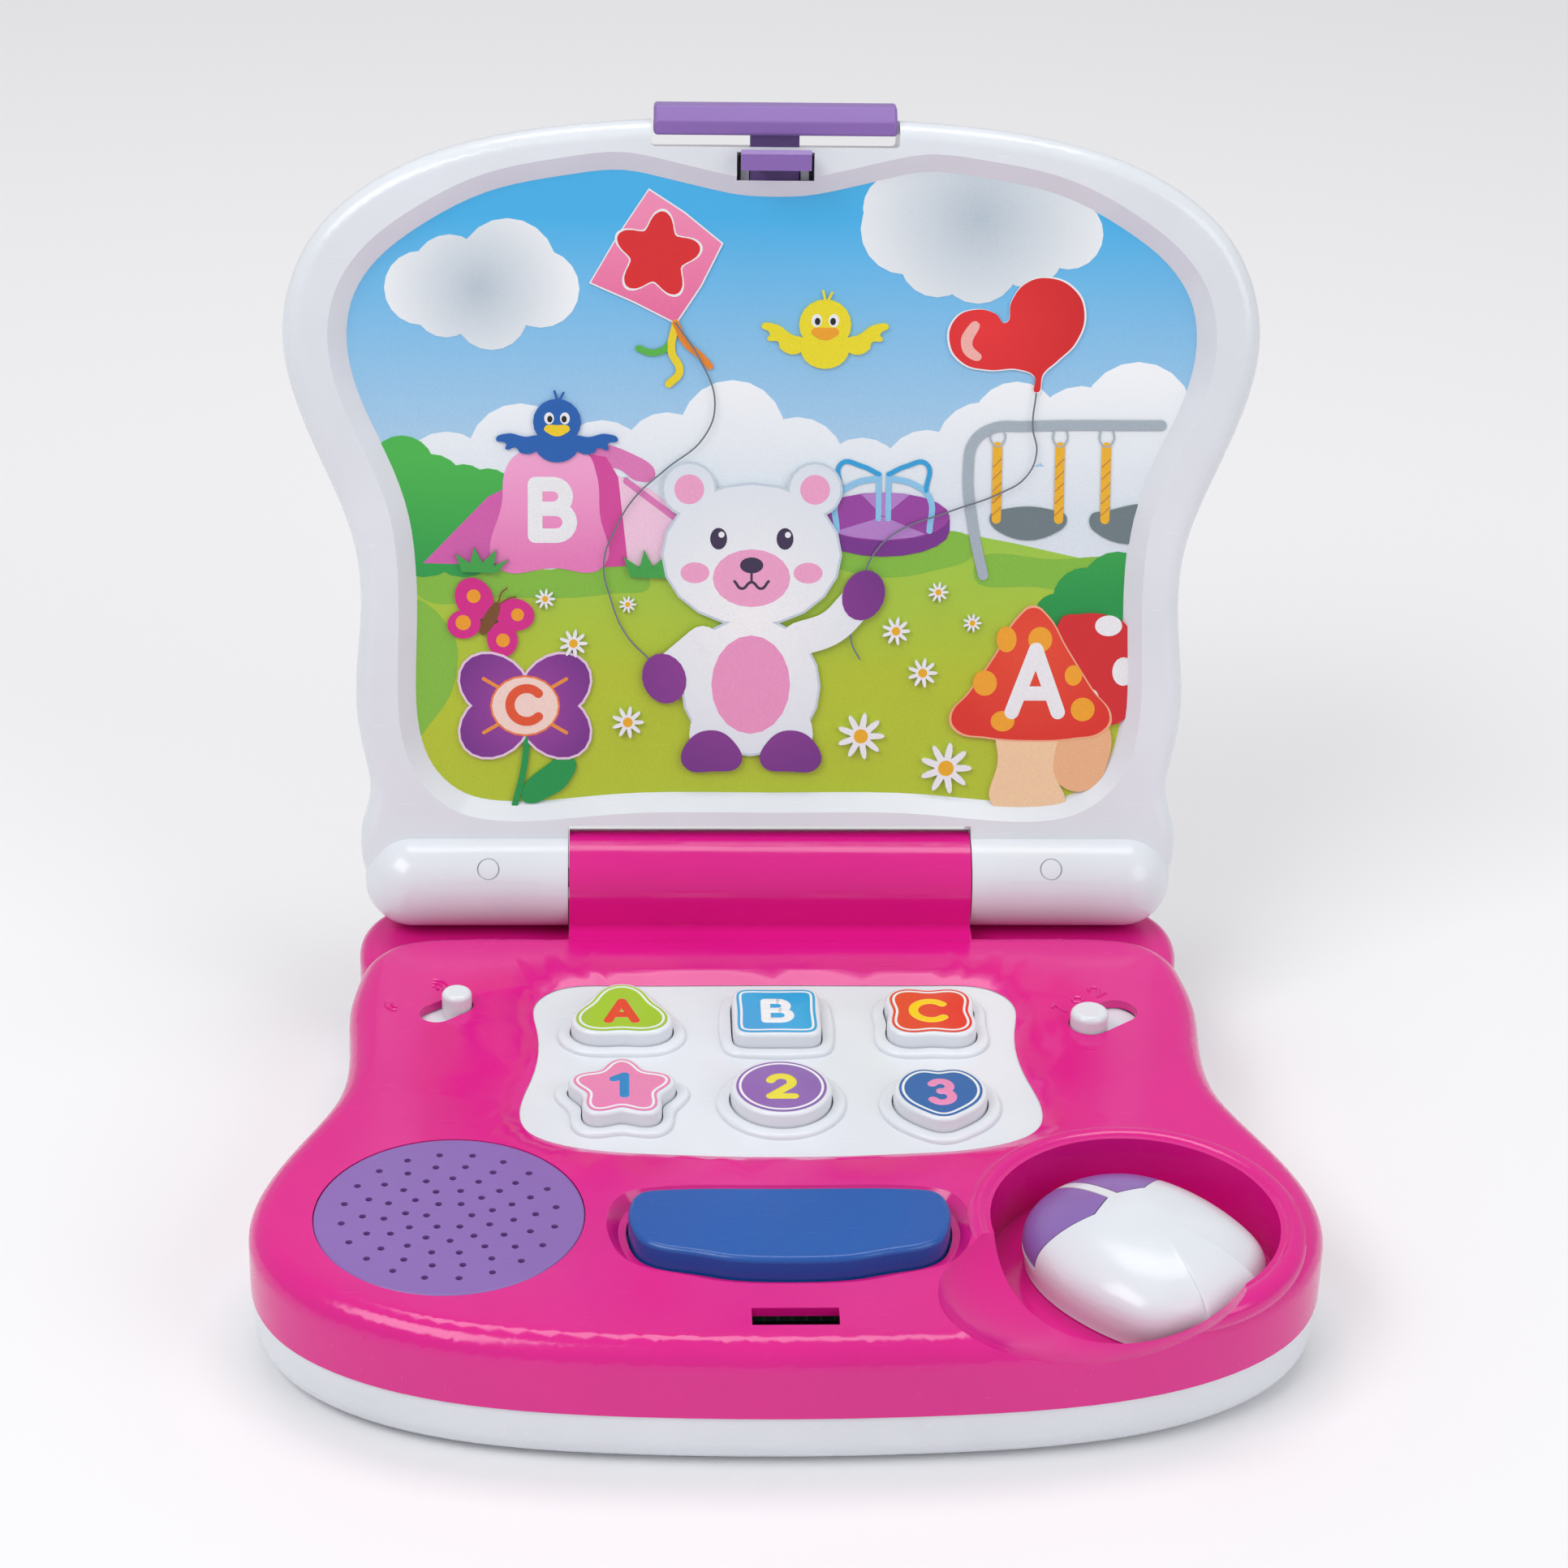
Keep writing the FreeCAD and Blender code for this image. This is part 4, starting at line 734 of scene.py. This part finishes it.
# Pink climbing block with its slide and ramp.
ink(printed("ramp", "#D65FB0"), ("straight", [(-86, 79.5), (-70, 96), (-66, 98), (-66, 79)]))
ink(printed("slide", "#F6CCE4"), ("straight", [(-42, 103), (-30, 98), (-18, 88), (-18, 79), (-40, 79)]))
ink(printed("slide_edge", "#E27BBB"),
    ("smooth", [(-46, 107), (-34, 106.5), (-29, 101), (-33, 100), (-38, 103), (-44, 104)]),
    ("line", [(-36, 100), (-28, 94), (-20, 88)], 1.6))
ink(printed("block_side", "#D9479F"), ("straight",
                                       [(-48, 107), (-41, 106), (-38, 101), (-35.5, 79), (-44, 78.5)]))
block = graded("block", "#EC7FBF", "#F6A9D5", (-54, 80), 26, along=True)
ink(block, ("smooth", [(-68, 79), (-66.5, 95), (-65.5, 103), (-62, 107), (-54, 107.6), (-46, 107),
                       (-43.4, 102),
                       (-42.5, 92), (-41.5, 79), (-54, 78.4)]))
ink(WHITE_INK, ("letter", "b", -54.5, 92.8, 14.5, 3.6))
# Roundabout and swings.
rim = printed("roundabout_rim", "#7A2B90")
ink(rim, ("straight", oval(27.5, 88, 16.5, 6.5)), ("straight", [(11, 91), (44, 91), (44, 88), (11, 88)]))
ink(printed("roundabout_top", "#9B3FA5"), ("straight", oval(27.5, 91.5, 16.5, 6)))
ink(printed("roundabout_fan", "#B783CE"),
    ("straight", [(27.5, 91.5), (15, 87.6), (20, 86.4), (27.5, 85.6), (35, 86.4), (38, 87.2)]),
    ("straight", [(27.5, 91.5), (22, 97), (27.5, 97.5), (34, 97)]))
rail_paint = printed("rails", "#8ECBF0")
ink(rail_paint, ("line", [(16, 88), (16, 96), (20, 99.5), (26, 101)], 1.5),
    ("line", [(39, 88), (39, 96), (35, 99.5), (29, 101)], 1.5), ("line", [(26.3, 91), (26.3, 102)], 1.4),
    ("line", [(28.7, 91), (28.7, 102)], 1.4))
ink(printed("rail_ends", "#2BA4DF"), ("line", [(26.3, 102), (22, 104), (17, 104.6), (17, 98)], 1.2),
    ("line", [(28.7, 102), (33, 104), (38, 104.6), (38, 98)], 1.2))
SWING_ROPES = (55.5, 71.0, 82.5)
frame_paint = printed("swing_frame", "#A9B7C2")
ink(frame_paint, ("line", [(52.5, 77), (50, 88), (48.4, 104), (49.6, 110), (54, 113.4), (62, 114),
                           (96, 114.4)], 2.6))
ink(printed("swing_seats", "#6E7F84"), ("smooth",
                                        [(54, 92), (57, 93.4), (70, 93.2), (73, 91.6), (71, 88), (56, 88)]),
    ("smooth", [(79, 92), (82, 93), (96, 93), (96, 88), (80, 88)]))
ropes = [("line", [(x, 91), (x, 109)], 2.3) for x in SWING_ROPES]
rings = [("line", [(x - 1.6, 113), (x - 1.7, 110.6), (x, 109), (x + 1.7, 110.6), (x + 1.6, 113)], 0.4)
         for x in SWING_ROPES]
ink(printed("swing_ropes", "#F4B820"), *ropes)
ink(frame_paint, *rings)
twists = [("line", [(x - 1.0, up), (x + 1.0, up + 2)], 0.35) for x in SWING_ROPES for up in range(92,
                                                                                                  107, 3)]
ink(printed("rope_twists", "#C98A12"), *twists)
# Kite with a star and ribbons.
KITE = [(-30.6, 171), (-22, 165.5), (-12.9, 158.2), (-18, 148), (-24, 139), (-34, 144), (-44.7, 148.6),
        (-38, 160)]
ink(WHITE_INK, ("straight", moved([(x + 28.5, up - 155) for x, up in KITE], -28.5, 155, 1.03)))
ink(graded("kite", "#EF6FA3", "#F58DB6", (-28, 140), 26, along=True), ("straight", KITE))
STAR = rosette(0, 0, 10.6, 5, 0.19, math.radians(82))
ink(WHITE_INK, ("smooth", moved(STAR, -28.6, 155.4, 1.06)))
ink(printed("kite_star", "#E01F26"), ("smooth", moved(STAR, -28.6, 155.4)))
ink(printed("ribbon_green", "#57B947"), ("line",
                                         [(-24, 138.8), (-25.5, 133.6), (-29.5, 131.6), (-33, 132.6)], 1.7))
ink(printed("ribbon_yellow", "#F1D81E"), ("line", [(-24, 138.8), (-25, 132), (-23, 127), (-25.6, 124)],
                                          1.9))
ink(printed("ribbon_orange", "#F08A24"), ("line",
                                          [(-24, 138.8), (-21.5, 134), (-18, 131), (-15.6, 128.4)], 1.7))
# Heart balloon.
HEART = [(64.7, 122.4), (64.3, 126.2), (60.5, 128), (52.7, 127.9), (46.5, 129.6), (43.2, 134.6),
         (44.6, 140.4),
         (49.5, 142.6), (54.4, 141.6), (56.8, 139.4), (58.2, 144.6), (61.6, 149), (67, 150.4),
         (73.6, 147.6),
         (76.2, 142), (74.4, 135), (69.6, 130), (66.4, 127)]
ink(WHITE_INK, ("smooth", moved([(x - 60, up - 138) for x, up in HEART], 60, 138, 1.03)))
ink(graded("balloon", "#EE2A30", "#D3141C", (52, 138), 24), ("smooth", HEART))
ink(printed("balloon_shine", "#F8B5AE"), ("smooth",
                                          [(50, 139.6), (47, 137.6), (46, 134), (48, 130.8),
                                           (51, 130.6), (48.8, 134)]))
# Two small birds.
WING = [(0, 0), (5, 1.4), (10.5, 3.6), (14.5, 2.4), (11.5, 0.4), (12, -1.4), (8.6, -1.6), (7.4, -3.6),
        (2, -4)]
for name, code, x, up, size, tilt in (("bird_yellow", "#F0E01E", 12.6, 136.5, 1.0, 10),
                                      ("bird_blue", "#1560B4", -53, 112.5, 0.92, -12)):
    mirror = [(-u, v) for u, v in reversed(WING)]
    ink(printed(name + "_wings", code), ("smooth",
                                         moved(WING, x + 4.5 * size, up - 2 * size, 0.8 * size, tilt)),
        ("smooth", moved(mirror, x - 4.5 * size, up - 2 * size, 0.8 * size, -tilt)))
    ink(bpy.data.materials[name + "_wings"], ("straight", oval(x, up - 3.6 * size, 6 * size, 5 * size)),
        ("straight", oval(x, up + 2.2 * size, 6.4 * size, 6.2 * size)),
        ("line", [(x, up + 8 * size), (x - 0.6, up + 10.4 * size)], 0.6),
        ("line", [(x + 0.6, up + 8 * size), (x + 1.6, up + 10 * size)], 0.6))
    ink(WHITE_INK, *ovals((x - 2.1 * size, up + 3.2 * size, 1.3 * size, 1.6 * size),
                          (x + 2.1 * size, up + 3.2 * size, 1.3 * size, 1.6 * size)))
    ink(printed(name + "_eyes", "#101216"), *ovals((x - 1.9 * size, up + 3 * size, 0.7 * size, 0.9 * size),
                                                   (x + 1.9 * size, up + 3 * size, 0.7 * size, 0.9 * size)))
    ink(printed(name + "_bill", "#F2A51E" if name == "bird_yellow" else "#F5D31C"),
        ("smooth", moved([(-3.4, 0.5), (0, 1.3), (3.4, 0.5), (2, -1.1), (0, -1.7), (-2, -1.1)], x,
                         up + 0.1, size)))
# Butterfly.
ink(printed("butterfly", "#D91C8B"), *ovals((-73.5, 70.8, 4.6, 5.4, 30), (-76, 64.4, 4.2, 3.6, 10),
                                            (-63.4, 66.8, 4.8, 4.0, -10), (-66.6, 60.6, 3.8, 4.4, 10)))
ink(printed("butterfly_spots", "#F4A11E"),
    *ovals((-73.6, 71.4, 1.7), (-76.2, 64.8, 1.9), (-62.8, 66.8, 1.6), (-66.4, 60.4, 1.7)))
ink(printed("butterfly_body", "#7A4A1E"), ("straight", oval(-69.6, 65.8, 1.6, 4.6, -28)),
    ("line", [(-67.6, 69.6), (-66.6, 72.4), (-65.4, 73.4)], 0.4),
    ("line", [(-67.4, 69.4), (-64.6, 71), (-63.2, 71.2)], 0.4))
# Flower with the letter C.
ink(printed("stem", "#12994A"), ("line", [(-60.5, 36), (-61.4, 28), (-63.6, 19)], 1.6),
    ("smooth", [(-62, 21), (-57, 28), (-49, 30.6), (-50, 25), (-55, 21), (-61, 19.6)]))
PETAL_ANGLES = [math.radians(angle) for angle in (38, 142, 218, 322)]


def petals(wide, high):
    """The flower's four petals, each turned to point outwards."""
    return [("straight", oval(-61 + 9.6 * math.cos(a), 44 + 8.0 * math.sin(a), wide, high, math.degrees(a)))
            for a in PETAL_ANGLES]


ink(printed("petal_edges", "#E9CFE6"), *petals(9.8, 8.0))
ink(graded("petals", "#A443A6", "#6F2487", (-61, 44), 20), *petals(9.2, 7.4))
veins = [("line", [(-61 + 5 * math.cos(a), 44 + 5 * math.sin(a)),
                   (-61 + 13 * math.cos(a), 44 + 11 * math.sin(a))], 0.9) for a in PETAL_ANGLES]
ink(printed("petal_veins", "#F0923A"), *veins)
ink(printed("flower_edge", "#EE7B46"), ("straight", oval(-61, 44, 8.7, 7.7)))
ink(printed("flower_heart", "#F9DCD0"), ("straight", oval(-61, 44, 8.2, 7.2)))
ink(printed("flower_letter", "#E8542A"), ("letter", "c", -60.6, 44.2, 9.6, 2.3))
# Mushrooms, one with the letter A.
ink(printed("stalk_shade", "#F1B98A"), ("smooth",
                                        [(71, 41), (70, 30), (73, 24), (80, 23), (84, 28), (83, 41)]))
ink(printed("far_cap", "#D81F27"), ("smooth",
                                    [(72, 66), (77, 67.4), (84, 67), (89, 64), (90, 50), (88, 40.5),
                                     (78, 42)]))
ink(WHITE_INK, *ovals((84, 64.5, 3.4, 2.6), (88, 53, 2.8, 3.6), (80, 46, 2.0, 2.6)))
ink(printed("stalk", "#F8D2A8"), ("smooth",
                                  [(57.6, 41), (57, 30), (56, 19), (66, 18), (73.5, 18.4), (71, 28),
                                   (70.6, 41)]))
CAP = [(65.2, 69), (61.5, 66.5), (56, 57), (49.6, 47.6), (45.2, 41.6), (46.6, 38.2), (54, 36.4), (65, 35.6),
       (76, 36.2), (83, 38), (84.8, 41.4), (80, 48.6), (73.4, 59), (68.8, 66.6)]
ink(printed("cap_edge", "#F5B08A"), ("smooth", moved([(x - 65, up - 50) for x, up in CAP], 65, 50, 1.03)))
ink(graded("cap", "#EE4A2C", "#DD2A1C", (65, 58), 24), ("smooth", CAP))
ink(printed("cap_spots", "#F7A823"), *ovals((58.6, 61, 2.5, 3.2), (67, 61, 3.0, 3.2), (53.4, 50, 3.0, 3.2),
                                            (58, 40.4, 3.0, 2.6), (78, 43.4, 3.0, 3.0),
                                            (75.5, 52, 2.2, 2.6)))
ink(WHITE_INK, ("letter", "a", 66.0, 50.4, 17.5, 3.6))
# Daisies and tufts.
DAISIES = ((-49, 59.7, 3.6), (-56, 70.8, 2.6), (-35.6, 69.5, 2.2), (-35.5, 39.9, 4.1), (22.6, 36.5, 6.0),
           (44, 28.4, 6.6), (31, 63, 3.6), (41.4, 72.8, 2.6), (50, 65.1, 2.4), (37.8, 52.5, 3.8))
ink(WHITE_INK, *[("straight", rosette(x, up, r, 9, 0.30)) for x, up, r in DAISIES])
ink(printed("daisy_hearts", "#F0B21C"), *ovals(*[(x, up, 0.3 * r) for x, up, r in DAISIES]))
TUFT = [(-4.5, -1.5), (-6, 3), (-2.4, 0.6), (-1.4, 4.6), (0.6, 0.8), (4, 4), (3.4, 0), (7, 1.6), (4, -1.8)]
ink(printed("tufts", "#3DA648"), *[("straight", moved(TUFT, x, up, size)) for x, up, size in
                                   ((-72, 79, 1.0), (-30, 78, 1.1))])
# Strings of the kite and the balloon.
ink(printed("string", "#6C7480"),
    ("line", [(-24, 139), (-18, 130), (-14.3, 119.2), (-17, 111), (-26.3, 103.1), (-34, 96), (-38.3, 89),
              (-41.5, 80), (-39.8, 70.9), (-36, 62), (-30.1, 55.7)], 0.42),
    ("line", [(64.7, 122.2), (64, 114), (65.1, 107.6), (62.5, 101.5), (56.2, 97.5), (44, 93), (30.1, 87.3),
              (25, 82), (22.6, 76.2)], 0.42),
    ("line", [(19.6, 66), (20, 60), (22, 56)], 0.42))
# A plain teddy bear holds both strings.
fur = graded("bear_fur", "#FBFCFD", "#DCE5EE", (-5, 66), 42)
rim_ink = printed("bear_rim", "#C9D6E2")
EAR_SPOTS = ((-20.5, 98.2), (10.5, 98.2))
PAWS = ((-26.5, 51, 5.4, 6.4, 20), (22.8, 72, 5.2, 6.4, -20))
ARMS = (("line", [(-17, 60), (-24, 54)], 8.5), ("line", [(7, 61), (15, 64), (21, 70)], 8.5))
ink(rim_ink, *ovals((-5, 49, 17.4, 17.6)), *ovals(*[(x, up, 6.9) for x, up in EAR_SPOTS]),
    ("straight", oval(-5, 82, 22.4, 18.0)))
ink(fur, *ARMS, *ovals((-14, 37, 6.2, 8), (4.4, 37, 6.2, 8)), *ovals((-5, 49, 16.8, 17.0)))
ink(printed("bear_tummy", "#F09AC8"), ("straight", oval(-5, 49.5, 9.8, 12.4)))
ink(fur, *ovals(*[(x, up, 6.3) for x, up in EAR_SPOTS]), ("straight", oval(-5, 82, 21.8, 17.4)))
ink(printed("bear_pink", "#F3A6CE"), *ovals(*[(x, up, 3.7) for x, up in EAR_SPOTS]),
    ("straight", oval(-5, 76.2, 9.6, 7.2)),
    *ovals((-19, 77.5, 3.6, 2.6), (9, 77.5, 3.6, 2.6)))
ink(printed("bear_dark", "#3A2A4E"), *ovals((-13.2, 86, 2.1, 2.7), (3.2, 86, 2.1, 2.7),
                                            (-5, 79.4, 2.9, 2.0)),
    ("line", [(-5, 77.6), (-5, 75.2)], 0.6),
    ("line", [(-9.2, 75.4), (-7.4, 73.6), (-5, 75.2), (-2.6, 73.6), (-0.8, 75.4)], 0.7))
ink(WHITE_INK, *ovals((-12.5, 87, 0.75), (3.9, 87, 0.75)))
mitten = graded("bear_mittens", "#A0409F", "#6B2383", (-5, 60), 40)
ink(mitten, *ovals(*PAWS), ("smooth", [(-21.6, 29), (-21, 34.5), (-15, 38), (-9, 35), (-7.4, 29.4),
                                       (-14, 27.6)]),
    ("smooth", [(-2.2, 29.4), (-0.8, 35), (5, 38), (11.4, 34.5), (12.2, 29), (4.6, 27.6)]))

bmesh.ops.remove_doubles(picture, verts=picture.verts, dist=0.0002 * MM)
park = add_mesh("screen_picture", picture, *inks)
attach(park, "lid")


# ---- latch ---------------------------------------------------------------------------
# A sprung purple slider: the push bar on the lid's edge, its stem between two guides,
# and the hook that catches in the deck's slot.
refined("latch_slider", purple_plastic, 40)
dress("latch_spring", contact_metal)

low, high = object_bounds()
